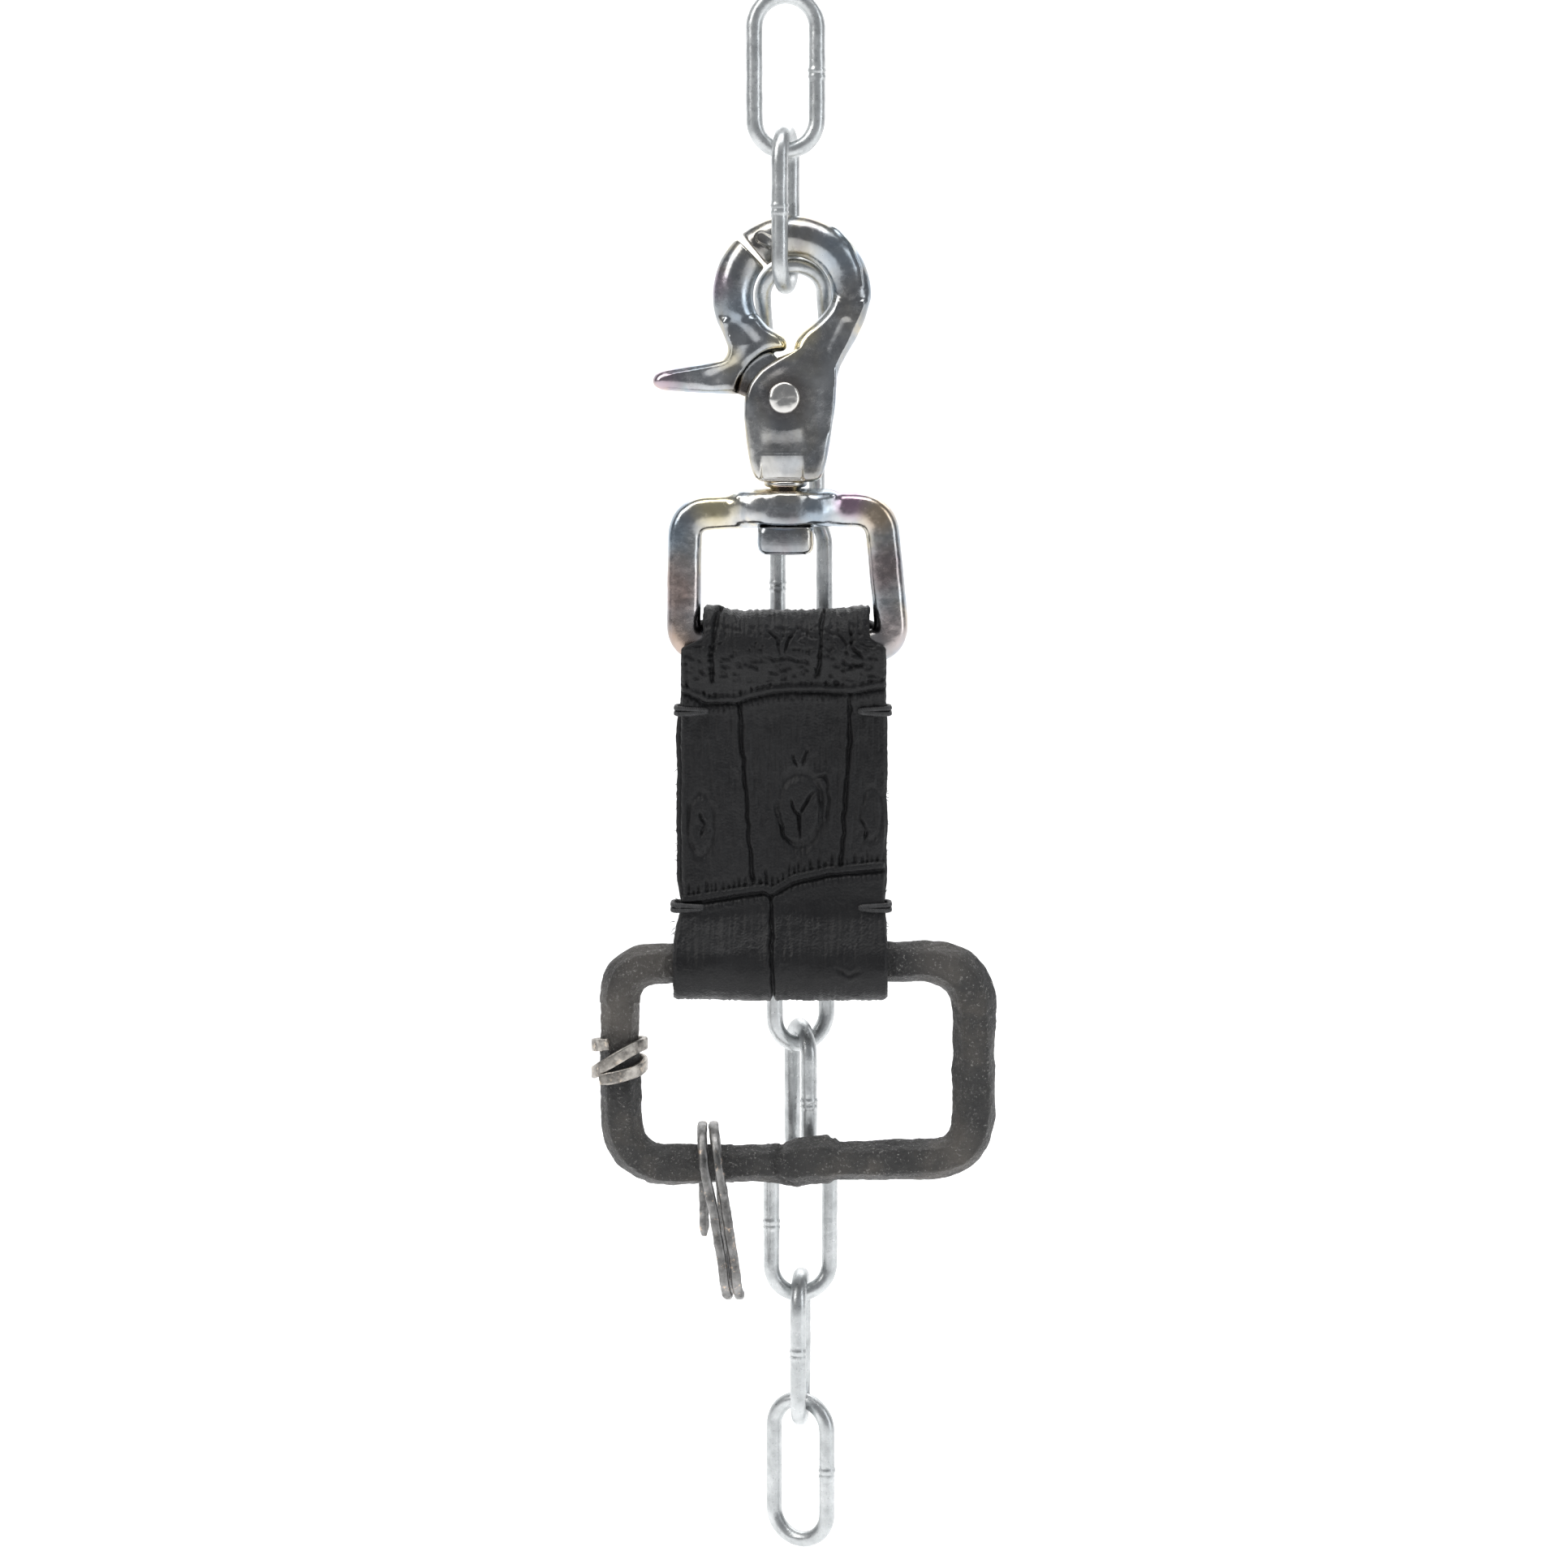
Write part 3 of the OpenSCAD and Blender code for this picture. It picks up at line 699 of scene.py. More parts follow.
def hook():
    ear = smooth_outline(EAR)
    arm = smooth_outline(ARM)
    cheek = [(SLOT_HALF, 0.0), (3.2, 0.0), (4.1, 0.25), (4.5, 0.8), (4.7, 1.6)]
    block = smooth_outline([(-7.1, -84.6), (-6.8, -86.2), (-6.0, -88.6), (-4.6, -89.4), (5.6, -89.4), (6.9, -88.6),
        (8.0, -84.6)])
    wall = smooth_outline([(6.0, -65.6), (6.0, -85.5), (7.7, -85.5), (8.8, -79.1), (9.5, -74.8), (9.7, -69.9),
        (9.4, -67.4), (7.4, -65.2)])
    parts = [
        jaw(-38, 129.6, 0),
        at_object(slab(arm, both_ways([(1.4, 0.0), (2.4, 0.4), (3.1, 1.2), (3.35, 2.0)]))),
        at_object(slab(ear, [(-y, amount) for y, amount in cheek])),
        at_object(slab(ear, cheek)),
        at_object(slab(block, [(-3.6, 0.3), (3.6, 0.3)])),
        at_object(slab(wall, [(-3.6, 0.2), (3.6, 0.2)])),
    ]
    data = fuse("snap_hook_body", parts, 0.22, 34)
    p, n = points_of(data)
    face = smooth(0.45, 0.85, abs(n[:, 1]))
    side = np.sign(p[:, 1] - OBJECT_Y)
    x, z = p[:, 0], p[:, 2]
    r = np.hypot(x - PIVOT[0], z - PIVOT[1])
    # a shallow dish around the rivet, a sunk patch below it and a bevel below that
    deep = 0.30 * (1 - smooth(4.0, 6.6, r))
    inside = smooth(-5.4, -4.0, x) * (1 - smooth(2.6, 4.0, x))
    deep = np.maximum(deep, 0.34 * inside * smooth(-84.1, -83.7, z) * (1 - smooth(-82.5, -78.6, z)))
    facet = smooth(-5.0, -4.2, x) * (1 - smooth(2.9, 3.6, x)) * (1 - smooth(-84.0, -83.8, z))
    deep = deep + facet * (0.05 + 0.75 * smooth(-83.8, -88.2, z))
    # a flowing hollow down the right side where the arm meets the ear
    hollow, _ = line_distance(x, z, [(11.4, -59.5), (9.6, -63.0), (8.2, -67.0), (7.7, -72.0), (7.2, -79.0)])
    deep = deep + 0.40 * np.exp(-((hollow / 1.3) ** 2))
    body = abs(p[:, 1] - OBJECT_Y) > 2.4
    p[:, 1] -= side * deep * face * body
    # the ears thin out towards the arm, so that one face runs up into the jaw
    shoulder = smooth(-72.0, -65.5, z) * smooth(-2.0, 4.0, x)
    depth = p[:, 1] - OBJECT_Y
    above = np.maximum(abs(depth) - 3.2, 0.0)
    p[:, 1] = OBJECT_Y + np.sign(depth) * (abs(depth) - above * shoulder)
    # a small dark hole in the right side
    hole = np.linalg.norm(p - np.array([9.4, OBJECT_Y - 1.5, -75.4]), axis=1)
    p -= n * (1.0 * np.exp(-((hole / 0.9) ** 4)))[:, None]
    # a thin raised casting line on the upper right of the jaw
    d, _ = line_distance(x, z, [(8.9, -41.2), (12.0, -44.6), (14.0, -48.9), (14.4, -52.5)])
    lift = 0.28 * np.exp(-((d / 0.32) ** 2)) * (n[:, 1] < 0.1)
    p += n * lift[:, None]
    # the small facet cut at the jaw's tip
    d, _ = line_distance(x, z, [(-4.6, -43.4), (-2.4, -44.6)])
    p[:, 1] += np.where(n[:, 1] < -0.5, 0.5 * (1 - smooth(0.7, 1.3, d)), 0)
    p += n * (noise(p, 3.5, 3) * 0.06 + noise(p, 1.3, 4) * 0.02)[:, None]
    set_points(data, p)
    adopt("snap_hook_body", data, STEEL, "hook", ("hook_body",))


def lever():
    outline = smooth_outline(LEVER)
    web = smooth_outline([(-5.3, -74.2), (-9.2, -72.8), (-9.6, -68.2), (-5.0, -65.4), (-2.6, -65.0), (2.6, -69.6),
        (4.2, -71.6),
                          (4.7, -73.6), (3.6, -76.4), (2.4, -82.2), (-1.4, -82.2), (-3.6, -77.4)])
    parts = [
        jaw(134.0, 236, 200),
        at_object(slab(outline, both_ways([(1.1, 0.0), (2.0, 0.3), (2.8, 0.9), (3.15, 1.7)]))),
        at_object(slab(web, [(-1.75, 0), (1.75, 0)])),
    ]
    data = fuse("trigger_lever_body", parts, 0.22, 28)
    p, n = points_of(data)
    x, z = p[:, 0], p[:, 2]
    # the thumb tab thins towards its tip, and a hollow runs along it
    tab = smooth(-10.5, -15.0, x)
    p[:, 1] = OBJECT_Y + (p[:, 1] - OBJECT_Y) * (1 - 0.20 * tab)
    d, _ = line_distance(x, z, [(-9.6, -59.6), (-6.2, -63.2), (-8.6, -67.0), (-14.0, -69.6)])
    hollow = 0.45 * np.exp(-((d / 1.5) ** 2)) * smooth(0.4, 0.9, abs(n[:, 1]))
    p[:, 1] -= np.sign(p[:, 1] - OBJECT_Y) * hollow
    p += n * (noise(p, 3.0, 13) * 0.05)[:, None]
    set_points(data, p)
    adopt("trigger_lever_body", data, STEEL, "lever", ("trigger_lever",))


def rivet():
    head = 4.45
    for side, label in ((-1, "front"), (1, "back")):
        profile = [(2.0, 0.0), (2.85, 0.05), (2.98, 0.3), (2.9, 0.62), (2.6, 0.86), (2.0, 1.05), (1.2, 1.15),
            (0.5, 1.18), (0.05, 1.18)]
        v, f = lathe(profile, (PIVOT[0], OBJECT_Y + side * (head - 0.35), PIVOT[1]), (0, side, 0), 72)
        v = v + noise(v, 1.1, 21)[:, None] * np.array([0.05, 0.09, 0.05])
        mesh_object(f"rivet_head_{label}", v, f, BRIGHT, "hook", ("pivot_rivet",))


def stud():
    profile = [(4.0, 0.0), (4.15, -0.25), (4.1, -0.8), (3.7, -1.1), (2.95, -1.3), (2.95, -8.6)]
    v, f = lathe(profile, (0, OBJECT_Y, -89.3), (0, 0, 1), 64)
    # a rounded square head under the collar
    rows = []
    for z, half in ((-97.95, 5.0), (-98.2, 5.35), (-99.2, 5.4), (-101.2, 5.38), (-102.2, 5.2), (-102.8, 4.75),
        (-103.15, 4.0)):
        ring = oval(half, half * 0.93, 64, 5.0)
        rows.append(np.column_stack([ring[:, 0], ring[:, 1] + OBJECT_Y, np.full(64, z)]))
    hv = np.vstack(rows)
    hf = ring_faces(len(rows), 64) + [cap[::-1] for cap in end_caps(len(rows), 64)]
    hv = hv + noise(hv, 2.0, 31)[:, None] * 0.05
    v, f = join([(v, f), (hv, hf)])
    mesh_object("swivel_stud_body", v, f, STEEL, "hook", ("swivel_stud",))


def spring():
    a = np.linspace(0, 2.2 * 2 * math.pi, 160)
    path = np.stack([PIVOT[0] + 3.0 * np.cos(a), OBJECT_Y - 1.75 + 0.9 * a / a[-1], PIVOT[1] + 3.0 * np.sin(a)], 1)
    v, f = sweep(path, lambda i, s: oval(0.33, 0.33, 10))
    mesh_object("trigger_coil_spring", v, f, BRIGHT, "hook", ("trigger_spring",))


# ---------------------------------------------------------------- swivel frame
def swivel_frame():
    left, right, top = -19.4, 19.7, -95.2
    corners = [(-5, -94.9), (left + 0.3, top - 0.5), (left - 0.2, BAR_Z), (right + 0.9, BAR_Z),
        (right - 1.6, top + 0.4), (5, -94.7)]
    pts = rounded([(x, OBJECT_Y, z) for x, z in corners], [0, 4.6, 4.4, 4.4, 5.6, 0], 10)
    path = resample(pts, 0.5)

    def section(i, share):
        # a cushion section with flattened faces
        return oval(3.25, 3.2, 40, 2.9)

    bars = sweep(path, section, fixed=(0, 1, 0))
    profile = [(3.2, 3.0), (5.2, 3.0), (6.3, 2.75), (6.85, 2.2), (6.9, 0.6), (6.9, -2.2), (6.6, -3.2), (5.9, -3.45),
        (3.2, -3.45)]
    collar = lathe(profile, (0, OBJECT_Y, -94.0), (0, 0, 1), 72)
    # fillets that run from the collar into the bars
    ramps = []
    for side in (-1, 1):
        rows = resample([(side * 1.0, OBJECT_Y, -94.3), (side * 8.0, OBJECT_Y, -94.4),
            (side * 12.0, OBJECT_Y, -95.2)], 0.5)
        ramps.append(sweep(rows, lambda i, s: oval(3.6 - 0.7 * smooth(0.6, 1, s), 6.0 - 3.0 * smooth(0.35, 1, s), 32,
            2.8), fixed=(0, 1, 0)))
    data = fuse("swivel_frame_body", [bars, collar] + ramps, 0.24, 26)
    p, n = points_of(data)
    # the frame's ground surface made a little uneven all over
    p += n * (noise(p, 4.0, 43) * 0.07 + noise(p, 1.2, 44) * 0.02)[:, None]
    x, z = p[:, 0], p[:, 2]
    for cx, cz, r in ((-9.2, -92.3, 0.5), (9.4, -91.9, 0.35)):
        d = np.hypot(x - cx, z - cz)
        p += n * (0.22 * np.exp(-((d / r) ** 2)))[:, None]
    set_points(data, p)
    adopt("swivel_frame_body", data, FRAME_STEEL, "frame", ("swivel_frame",))


# ---------------------------------------------------------------- leather
THICK = 1.85


def strap_profile():
    """The middle of the leather, seen from its side, as (depth, height), once round."""
    top_r, low_r = 6.4 - THICK / 2, 7.4 - THICK / 2
    pts = []
    for a in range(-24, 205, 4):
        rise = 1.14 if a in range(0, 181) else 1.0
        pts.append((top_r * math.cos(math.radians(a)), BAR_Z + rise * top_r * math.sin(math.radians(a))))
    front = -2.25 + THICK / 2
    pts += [(front - 0.5, -131.2), (front, -134.5), (front - 0.12, -150), (front, -170.2), (front - 0.6, -173.2)]
    for a in range(156, 385, 4):
        pts.append((low_r * math.cos(math.radians(a)), LOWER_Z + low_r * math.sin(math.radians(a))))
    back = 1.25
    pts += [(back + 0.6, -173.4), (back, -170.4), (back + 0.25, -150), (back, -134.4), (back + 0.5, -131.0)]
    p = np.array(pts)
    for _ in range(2):
        p = resample(p, 0.6, closed=True)
        p = 0.5 * p + 0.25 * (np.roll(p, 1, 0) + np.roll(p, -1, 0))
    return p


def relief(x, z):
    """How far the front of the leather stands out (+) or is pressed in (-), at X and height Z, in millimetres."""
    h = np.zeros(np.shape(x))
    q = np.stack([x, z, np.zeros_like(x)], -1)
    wob = noise(q, 1.6, 51) * 0.22

    def groove(points, depth, width, lip=0.35, fade=0.0):
        d, t = line_distance(x + wob, z + wob * 0.5, points)
        weight = 1.0
        if fade:
            weight = smooth(0, fade, t) * (1 - smooth(1 - fade, 1, t))
        raised = lip * np.exp(-(((d - 2.2 * width) / (1.5 * width)) ** 2))
        return weight * depth * (raised - np.exp(-((d / width) ** 2)))

    # scale plates swell between their grooves
    h += 0.20 * noise(q, 7.0, 52) + 0.10 * noise(q, 2.6, 53)
    for points, depth, width in (
        ([(-8.9, -131.6), (-7.6, -150.0), (-6.7, -162.4), (-6.4, -165.8)], 0.95, 0.40),
        ([(12.2, -129.8), (12.3, -138.4), (11.5, -149.0), (10.8, -161.3), (10.9, -163.0)], 0.90, 0.38),
        ([(-12.3, -112.0), (-13.6, -117.0), (-14.0, -121.0), (-14.0, -126.4)], 0.80, 0.38),
        ([(7.4, -111.0), (6.9, -116.0), (6.5, -119.8), (6.1, -125.0)], 0.85, 0.40),
        ([(-2.8, -169.2), (-2.7, -180.0), (-2.4, -190.0), (-2.4, -197.0)], 0.90, 0.36),
    ):
        h += groove(points, depth, width)
    # two long creases across the strap, each with a fold above it
    upper = [(-21.0, -129.0), (-18.9, -129.6), (-15.0, -131.7), (-8.9, -131.4), (-7.2, -130.6), (-2.5, -129.4),
        (3.0, -129.1), (12.2, -129.5), (18.3, -128.3), (21.0, -127.6)]
    lower = [(-22.0, -170.9), (-19.0, -170.7), (-11.4, -169.5), (-4.2, -168.4), (-2.8, -169.1), (1.4, -166.6),
        (8.3, -165.0), (17.7, -164.1), (21.0, -163.8)]
    for points, depth in ((upper, 0.95), (lower, 1.05)):
        h += groove(points, depth, 0.48, 0.3)
        fold = [(a, b + 1.9) for a, b in points]
        h += groove(fold, depth * 0.45, 0.30, 0.2)
        d, _ = line_distance(x, z, [(a, b + 1.0) for a, b in points])
        h += 0.30 * np.exp(-((d / 0.75) ** 2))
    # short comb-like wrinkles above the creases
    for points, tall, seed in ((upper, 3.6, 61), (lower, 6.0, 62)):
        line = np.interp(x, [a for a, _ in points], [b for _, b in points])
        up = z - line
        lane = x / 1.15 + 0.5 * noise(np.stack([x, z * 0.25, x * 0], -1), 1.5, seed)
        reach = tall * (0.55 + 0.45 * hash3(np.floor(lane).astype(np.int64), np.zeros_like(x, np.int64),
            np.zeros_like(x, np.int64), seed))
        comb = np.exp(-(((lane - np.floor(lane) - 0.5) / 0.20) ** 2))
        h -= 0.72 * comb * smooth(1.4, 2.2, up) * (1 - smooth(reach * 0.6, reach, up))
        tick = x / 0.95 + 0.4 * noise(np.stack([x, z * 0.2, x * 0], -1), 1.0, seed + 4)
        tooth = np.exp(-(((tick - np.floor(tick) - 0.5) / 0.24) ** 2))
        h -= 0.50 * tooth * smooth(-1.9, -1.1, up) * (1 - smooth(-0.7, -0.4, up))
    # pressed ovals
    for cx, cz, rx, rz, depth in ((2.7, -152.3, 4.3, 7.1, 0.42), (-16.3, -155.2, 2.6, 6.0, 0.32),
        (16.6, -153.0, 2.0, 5.0, 0.22)):
        u = np.hypot((x - cx + wob) / rx, (z - cz + wob) / rz)
        h -= 1.5 * depth * np.exp(-(((u - 1) / 0.15) ** 2))
        h += depth * 0.8 * np.exp(-(((u - 0.62) / 0.28) ** 2))
    for points, depth, width in (
        ([(0.2, -149.0), (2.4, -153.4), (2.9, -158.6)], 0.34, 0.36),
        ([(5.6, -148.0), (3.6, -151.4), (2.6, -153.6)], 0.34, 0.36),
        ([(-1.2, -154.5), (0.0, -157.6), (1.6, -159.2)], 0.22, 0.30),
        ([(4.2, -146.2), (7.6, -145.6), (8.4, -150.0), (8.0, -156.0)], 0.20, 0.32),
        ([(-17.0, -152.0), (-15.6, -155.0), (-16.6, -158.0)], 0.20, 0.28),
        ([(14.2, -153.4), (15.6, -156.0), (15.0, -159.0)], 0.20, 0.28),
        ([(1.2, -141.0), (2.4, -144.2)], 0.22, 0.28),
        ([(4.2, -140.2), (3.2, -143.6)], 0.22, 0.28),
        ([(-4.0, -116.5), (-1.6, -118.6), (-0.8, -121.8)], 0.26, 0.30),
        ([(2.6, -116.0), (0.4, -118.8), (-0.8, -121.8)], 0.26, 0.30),
        ([(-5.0, -121.0), (-2.4, -122.2), (0.6, -121.6), (3.4, -123.0)], 0.20, 0.28),
        ([(9.4, -117.0), (11.4, -119.4), (13.6, -118.4)], 0.22, 0.28),
        ([(12.0, -115.6), (12.6, -119.6), (15.0, -122.6)], 0.22, 0.28),
        ([(10.0, -121.8), (12.4, -123.4), (16.0, -122.8)], 0.20, 0.28),
        ([(9.0, -183.0), (12.0, -184.8), (14.6, -183.8)], 0.14, 0.32),
    ):
        h += groove(points, 2.8 * depth, width, 0.35, 0.25)
    # scratchy wrinkles and long fine furrows
    furrow = noise(np.stack([x * 2.6, z * 0.30, x * 0], -1), 1.0, 71)
    h += 0.22 * furrow * smooth(-168, -160, z)
    h += 0.13 * noise(np.stack([x * 3.2, z * 0.16, x * 0], -1), 1.0, 74) * (1 - smooth(-168, -160, z))
    scratch = noise(np.stack([x * 0.9 + z * 0.6, z * 1.7, x * 0], -1), 0.9, 72)
    h -= 0.45 * smooth(0.2, 0.6, scratch) * smooth(-127.5, -125.0, z) * (1 - smooth(-118, -114, z))
    h += 0.05 * noise(q, 0.75, 73)
    return h


def edges_of_strap(p):
    """Left and right edge of the strap at a point of its profile."""
    z = p[1]
    back = smooth(-1.0, 1.0, p[0])
    mid = smooth(-173, -165, z) * (1 - smooth(-138, -128, z))
    low = 1 - smooth(-178, -170, z)
    left = -20.05 - 1.55 * low - 1.0 * back * mid
    right = 19.15 + 0.45 * low + 0.45 * back * mid
    if z > BAR_Z - 3:
        # the notches that the frame's legs rise through; they reach further down in front
        turn = math.degrees(math.atan2(-p[0], z - BAR_Z))
        notch = 1 - smooth(64, 92, turn) if turn > 0 else 1 - smooth(46, 60, -turn)
        left = left * (1 - notch) - 15.75 * notch
        right = right * (1 - notch) + 16.05 * notch
    return left, right


def wander(point, near, far, seed):
    """How far the strap's cut edge wanders at a point of its profile."""
    y, z = point
    fine, broad = noise(np.array([[z, y, near]]), 0.8, seed)[0], noise(np.array([[z, y, far]]), 5.0, seed + 1)[0]
    return fine * 0.10 + broad * 0.18


def strap_skin():
    """A strip of leather with thickness that follows the closed profile. The outside carries the relief."""
    p = resample(strap_profile(), 0.26, closed=True)
    n = len(p)
    t = np.roll(p, -1, 0) - np.roll(p, 1, 0)
    t /= np.linalg.norm(t, axis=1)[:, None]
    out = np.stack([t[:, 1], -t[:, 0]], 1)
    # the profile runs over the top from back to front, so its outside is on one fixed hand
    if np.sum((p - p.mean(0)) * out) < 0:
        out = -out
    across = 161
    share = np.linspace(0, 1, across + 1)
    rows = []
    for point in p:
        left, right = edges_of_strap(point)
        x = (left + wander(point, 3.0, 9.0, 81)) * (1 - share) + (right + wander(point, 30.0, 39.0, 83)) * share
        rows.append(np.column_stack([x, np.full_like(x, point[0]), np.full_like(x, point[1])]))
    outer, inner = np.array(rows), np.array(rows)
    normal = np.zeros_like(outer)
    normal[..., 1] = out[:, None, 0]
    normal[..., 2] = out[:, None, 1]
    # rounded, burnished edges: the skin is thinner over the last half millimetre
    edge = np.minimum(share, 1 - share) * 40
    thin = 1 - 0.55 * (1 - smooth(0.0, 0.75, edge)) ** 2
    # unroll the height round the loops so that the relief runs on
    s = np.r_[0, np.cumsum(np.linalg.norm(np.diff(p, axis=0), axis=1))]
    fronts = p[:, 0] < 0
    k0 = int(np.argmin(np.where(fronts, abs(p[:, 1] - STRAP_MIDDLE), 1e9)))
    direction = np.sign(p[(k0 + 3) % n][1] - p[k0 - 3][1])
    rolled = direction * (s - s[k0])
    total = s[-1] + np.linalg.norm(p[0] - p[-1])
    rolled = (rolled + total / 2) % total - total / 2
    zz = np.repeat(STRAP_MIDDLE + rolled[:, None], across + 1, 1)
    h = relief(outer[..., 0], zz)
    h = h * smooth(0.0, 0.9, edge)[None, :] ** 0.5
    behind = smooth(70.0, 62.0, abs(rolled))
    h = h * behind[:, None]
    q = np.stack([outer[..., 0], zz, np.full_like(zz, 7.0)], -1)
    h = h + (1 - behind)[:, None] * (0.10 * noise(q, 5.0, 91) + 0.05 * noise(q, 1.2, 92))
    half = THICK / 2 * thin[None, :, None]
    outer = outer + normal * (half + np.clip(h, -1.0, 0.22)[..., None] - 0.15)
    inner = inner - normal * half
    # the corners ride up beside the frame's legs, and the strap sags a little between them
    lift = 0.95 * smooth(8.0, 15.0, abs(outer[..., 0])) * smooth(BAR_Z + 2.0, BAR_Z + 6.0, outer[..., 2])
    outer[..., 2] += lift
    inner[..., 2] += lift
    outer[..., 1] += OBJECT_Y
    inner[..., 1] += OBJECT_Y
    w = across + 1
    verts = np.vstack([outer.reshape(-1, 3), inner.reshape(-1, 3)])
    base = n * w
    faces = []
    for i in range(n):
        a, b = i * w, (i + 1) % n * w
        for k in range(across):
            faces.append((a + k, a + k + 1, b + k + 1, b + k))
            faces.append((base + a + k, base + b + k, base + b + k + 1, base + a + k + 1))
        faces.append((a, b, base + b, base + a))
        faces.append((a + across, base + a + across, base + b + across, b + across))
    return verts, faces


def strap():
    v, f = strap_skin()
    obj = mesh_object("leather_strap_loop", v, f, LEATHER, "strap", ("leather_strap",))
    face_out(obj.data)
    obj.data.shade_smooth()
    return obj


def fibres():
    """Frayed leather fibres along the strap's cut edges."""
    rng = np.random.default_rng(17)
    parts = []
    for _ in range(46):
        side = -1 if rng.random() < 0.55 else 1
        z = rng.uniform(-190, -168) if rng.random() < 0.45 else rng.uniform(-165, -140)
        low = z < -172
        y = OBJECT_Y + (rng.uniform(1.0, 5.5) if low else rng.uniform(0.6, 1.8))
        edge = (-21.8 if low else -21.1) if side < 0 else 19.6
        length = rng.uniform(0.4, 1.1)
        a = np.array([edge - side * 0.3, y, z])
        b = a + np.array([side * length * 0.7, rng.uniform(-0.3, 0.3), rng.uniform(-0.7, 0.7)])
        c = b + np.array([side * length * 0.2, rng.uniform(-0.3, 0.3), rng.uniform(-0.6, 0.3)])
        path = resample([a, b, c], 0.25)
        parts.append(sweep(path, lambda i, s: oval(0.07 * (1.2 - s), 0.07 * (1.2 - s), 5)))
    v, f = join(parts)
    mesh_object("strap_edge_fibres", v, f, LEATHER, "strap", ())


def stitch(name, node, side, z):
    """Waxed thread wound twice over the strap's edge through one hole: two twisted strands, back and front."""
    edge = (-20.8 if z > -150 else -21.6) if side < 0 else (19.75 if z > -150 else 19.9)
    hole = edge - side * 5.6
    out = edge + side * 0.05
    front, back = -2.55, 2.75
    parts = []
    for k in (0, 1):
        dz = 0.46 - 0.92 * k
        loop = [
            (hole, 0.0, z),
            (hole, front + 0.3, z + dz * 0.25),
            (hole + side * 0.5, front, z + dz * 0.55),
            (hole + side * 3.0, front - 0.12, z + dz * (1.05 if k else 0.9)),
            (out - side * 0.4, front + 0.1, z + dz * 1.15),
            (out + side * 0.12, front + 0.9, z + dz * 1.15),
            (out + side * 0.12, back - 0.9, z + dz * 1.0),
            (out - side * 0.5, back, z + dz),
            (hole + side * 0.5, back, z + dz * 0.5),
            (hole, back - 0.4, z + dz * 0.2),
            (hole, 0.2, z),
        ]
        base = resample(rounded(loop, 0.5, 4), 0.10)
        _, nn, bb = frames(base, False)
        s = np.arange(len(base)) * 0.10
        for strand in range(3):
            a = s / 1.25 * 2 * math.pi + strand * 2 * math.pi / 3
            path = base + 0.23 * (np.cos(a)[:, None] * nn + np.sin(a)[:, None] * bb)
            parts.append(sweep(path, lambda i, q: oval(0.265, 0.265, 8)))
    v, f = join(parts)
    v[:, 1] += OBJECT_Y
    mesh_object(name, v, f, THREAD, "strap", (node,))


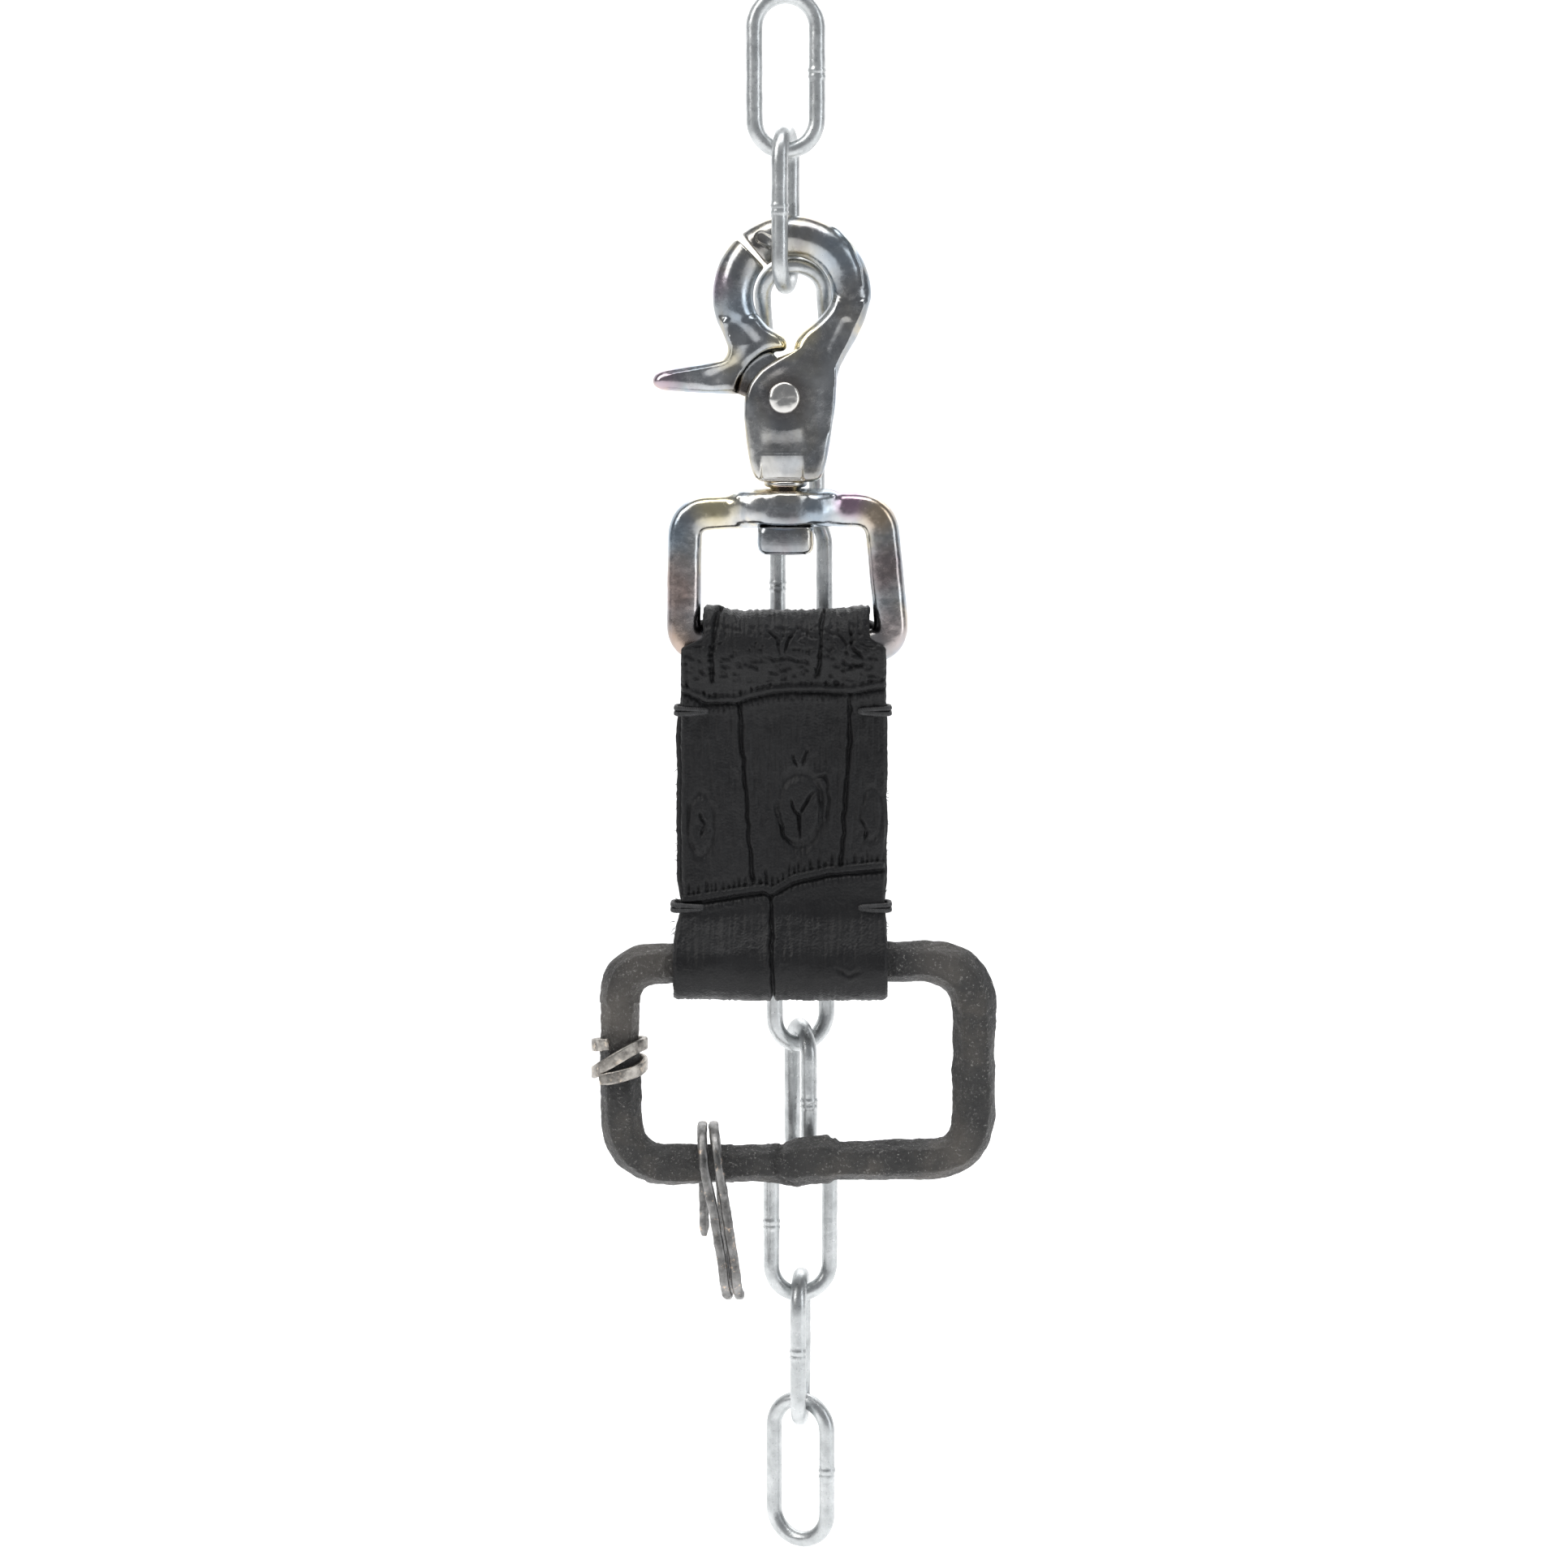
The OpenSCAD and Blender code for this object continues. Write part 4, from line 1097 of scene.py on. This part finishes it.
# ---------------------------------------------------------------- iron ring
def iron_ring():
    pts = [(RING_L, -182.6), (RING_R + 0.2, -182.1), (RING_R, -221.0), (RING_L + 0.2, -222.6)]
    line = rounded([(x, OBJECT_Y, z) for x, z in pts], [7.6, 10.4, 8.6, 10.4], 14, closed=True)
    path = resample(line, 0.42, closed=True)
    sides = 48
    a = np.linspace(0, 2 * math.pi, sides, endpoint=False)

    def section(i, share):
        # a rounded hexagon with an edge along the front, forged unevenly
        x, z = path[i][0], path[i][2]
        twist = 0.10 * math.sin(share * 17.0) + 0.08 * math.sin(share * 41 + 1)
        r = 4.0 * math.cos(math.pi / 6) / np.cos((a + twist) % (math.pi / 3) - math.pi / 6)
        r = 0.80 * r + 0.20 * 3.7
        grow = 1 + 0.035 * math.sin(share * 23 + 0.5) + 0.02 * math.sin(share * 57)
        if z < -215 and -3 < x < 11:
            # the lap weld: the right end lies over the left end and swells to a scarf
            grow += 0.16 * smooth(-1.0, 3.0, x) * (1 - smooth(8.0, 9.6, x)) - 0.05 * (1 - smooth(-2.4, 0.4, x))
        if z < -215 and -26 < x < -10:
            grow += 0.05
        wide = 1 + 0.12 * smooth(25, 34, x) * smooth(-222, -212, z)
        return np.stack([wide * r * grow * np.cos(a), 0.97 * r * grow * np.sin(a)], 1)

    v, f = sweep(path, section, closed=True, fixed=(0, 1, 0))
    away = outwards(v, path, sides)
    rough = noise(v, 4.5, 100) * 0.16 + noise(v, 2.2, 101) * 0.13 + noise(v, 1.0, 102) * 0.08 + noise(v, 0.45,
        103) * 0.05
    x, y, z = v.T
    low = z < -214
    # the crack round the weld's left end and facets left by the hammer
    crack, _ = line_distance(x, z, [(-0.6, -218.2), (-2.2, -220.4), (-2.0, -222.8), (-0.4, -224.4), (1.2, -225.4)])
    rough = rough - np.where(low & (y < OBJECT_Y + 1), 0.55 * np.exp(-((crack / 0.38) ** 2)), 0)
    step, _ = line_distance(x, z, [(9.0, -217.6), (8.4, -220.4), (9.4, -223.0)])
    rough = rough - np.where(low & (y < OBJECT_Y + 1), 0.30 * np.exp(-((step / 0.45) ** 2)), 0)
    # a burr on the right bar's inner edge
    burr = np.linalg.norm(v - np.array([32.9, OBJECT_Y, -203.6]), axis=1)
    rough = rough + 0.5 * np.exp(-((burr / 0.6) ** 2))
    v = v + away * rough[:, None]
    # the scarf's raised lip above and the swelling below the weld
    up = low & (z > -221.5)
    v[:, 2] += np.where(up, 0.75 * smooth(1.0, 8.8, x) * (1 - smooth(9.6, 10.6, x)), 0)
    v[:, 2] -= np.where(low & (z < -222.5), 0.5 * smooth(-6.0, -1.0, x) * (1 - smooth(2.0, 4.5, x)), 0)
    v[:, 1] = np.clip(v[:, 1], OBJECT_Y - 4.2, OBJECT_Y + 4.2)
    mesh_object("forged_iron_ring", v, f, IRON, "ring", ("iron_ring",))


def silver_band():
    """A hammered strip wound twice round the left bar, its two ends springing away."""
    turns, steps = 2.05, 420
    rng = np.linspace(0, 1, steps)
    a = np.radians(250 - 360 * turns * rng)
    off = np.where(rng > 0.93, (rng - 0.93) * 8, 0) + np.where(rng < 0.04, (0.04 - rng) * 14, 0)
    radius = 4.45 + off + 0.18 * np.sin(a * 2)
    z = -197.4 - 6.9 * rng + (0.5 + 2.3 * np.exp(-(((rng - 0.52) / 0.20) ** 2))) * np.cos(a + 0.2)
    path = np.stack([RING_L + radius * np.cos(a), OBJECT_Y + radius * np.sin(a), z], 1)
    t = np.gradient(path, axis=0)
    t /= np.linalg.norm(t, axis=1)[:, None]
    outward = np.stack([np.cos(a), np.sin(a), np.zeros_like(a)], 1)
    up = np.cross(t, outward)
    up /= np.linalg.norm(up, axis=1)[:, None]
    ring = oval(0.5, 1.22, 20, 5.0)
    rows = []
    for i in range(steps):
        narrow = 1.0 if 0.02 < rng[i] < 0.985 else 0.9
        rows.append(path[i] + outward[i] * (ring[:, :1] + 0.5) + up[i] * ring[:, 1:] * narrow)
    v = np.vstack(rows)
    v = v + (noise(v, 1.0, 111) * 0.09 + noise(v, 0.45, 112) * 0.05)[:, None] * np.repeat(outward, 20, 0)
    f = ring_faces(steps, 20) + end_caps(steps, 20)
    mesh_object("wrapped_silver_band", v, f, SILVER, "ring", ("silver_band",))


def split_ring():
    loop_r, loop_len = 7.2, 18.9
    arc = math.pi * loop_r
    lap = 2 * loop_len + 2 * arc

    def at(u):
        v = u % lap
        if v < loop_len:
            return loop_r, -loop_len + v
        if v < loop_len + arc:
            b = (v - loop_len) / loop_r
            return loop_r * math.cos(b), loop_r * math.sin(b)
        if v < 2 * loop_len + arc:
            return -loop_r, -(v - loop_len - arc)
        b = (v - 2 * loop_len - arc) / loop_r
        return -loop_r * math.cos(b), -loop_len - loop_r * math.sin(b)

    start, stop, steps = 2.6, lap + 2 * loop_len + arc + 11.0, 520
    pts = []
    for i in range(steps + 1):
        f = i / steps
        y, z = at(start + (stop - start) * f)
        across = np.interp(f, [0, 0.14, 0.32, 0.60, 0.88, 1.0], [-16.2, -16.1, -13.7, -12.6, -11.3, -10.9])
        lean = 0.02 + 0.10 * float(smooth(0.14, 0.30, f))
        pts.append((across - lean * (z + 9.0), OBJECT_Y + y, FLOOR_Z + z))
    path = np.array(pts)
    path += np.stack([noise(path, 6.0, 121) * 0.16, noise(path, 5.0, 122) * 0.12, noise(path, 5.0, 123) * 0.12], 1)

    def section(i, share):
        end = min(1.0, 0.55 + share * 40, 0.7 + (1 - share) * 30)
        return oval(1.0 * end, 0.96 * end, 16, 2.6)

    v, f = sweep(path, section, fixed=(1, 0, 0))
    v = v + noise(v, 1.1, 124)[:, None] * 0.07
    mesh_object("oblong_split_ring", v, f, SPLIT, "split", ("split_ring",))


# ---------------------------------------------------------------- studio
def studio():
    floor = bpy.data.meshes.new("studio_floor")
    # floor and wall in one curved sheet
    rows = [(-1.6, -0.42), (0.5, -0.42)]
    for a in range(0, 91, 6):
        rows.append((0.9 + 0.5 * math.sin(math.radians(a)), 0.08 - 0.5 * math.cos(math.radians(a))))
    rows.append((1.4, 2.2))
    verts, faces = [], []
    for y, z in rows:
        verts += [(-3.0, y, z), (3.0, y, z)]
    for i in range(len(rows) - 1):
        faces.append((2 * i, 2 * i + 1, 2 * i + 3, 2 * i + 2))
    floor.from_pydata(verts, [], faces)
    floor.shade_smooth()
    m, _, p = new_material("studio_white")
    p.inputs["Base Color"].default_value = (0.80, 0.80, 0.80, 1)
    p.inputs["Roughness"].default_value = 0.9
    p.inputs["Emission Color"].default_value = (1, 1, 1, 1)
    p.inputs["Emission Strength"].default_value = 0.62
    floor.materials.append(m)
    place("studio_floor", floor)

    world = bpy.data.worlds.new("studio_light")
    bpy.context.scene.world = world
    world.use_nodes = True
    world.node_tree.nodes["Background"].inputs[0].default_value = (0.92, 0.95, 1.0, 1)
    world.node_tree.nodes["Background"].inputs[1].default_value = 0.27

    def area(name, loc, target, size, power, colour=(1, 1, 1)):
        light = bpy.data.lights.new(name, "AREA")
        light.shape = "RECTANGLE"
        light.size, light.size_y = size
        light.energy = power
        light.color = colour
        lamp = place(name, light)
        lamp.location = loc
        lamp.rotation_euler = (Vector(target) - Vector(loc)).to_track_quat("-Z", "Y").to_euler()

    middle = (0, 0, -0.13)
    area("key_left", (-0.62, -0.34, 0.42), middle, (0.35, 0.7), 3.4, (1.0, 0.985, 0.96))
    area("fill_right", (0.85, -0.42, 0.10), middle, (0.3, 0.9), 2.0, (0.95, 0.98, 1.0))
    area("top", (0.0, -0.15, 0.75), middle, (0.7, 0.4), 2.4)
    area("rim_back", (0.1, 0.55, 0.35), middle, (0.9, 0.4), 1.6)
    area("wash", (0, -0.3, 1.2), (0, 1.2, 0.3), (1.5, 0.5), 6.0)

    cam = bpy.data.cameras.new("camera")
    cam.sensor_width = 36
    cam.lens = 90.18634
    cam.clip_start = 0.01
    eye = place("camera", cam)
    eye.location = (-0.00031, -0.75, -0.0502)
    eye.rotation_euler = (math.radians(90 - 7.4), 0, 0)
    bpy.context.scene.camera = eye
    bpy.context.scene.view_settings.view_transform = "Standard"


chain()
hook()
lever()
rivet()
stud()
spring()
swivel_frame()
leather = strap()
fibres()
for row, height in (("upper", -133.2), ("lower", -171.3)):
    for hand, side in (("left", -1), ("right", 1)):
        stitch(f"tack_{row}_{hand}", f"stitch_{row}_{hand}", side, height)
iron_ring()
silver_band()
split_ring()
studio()
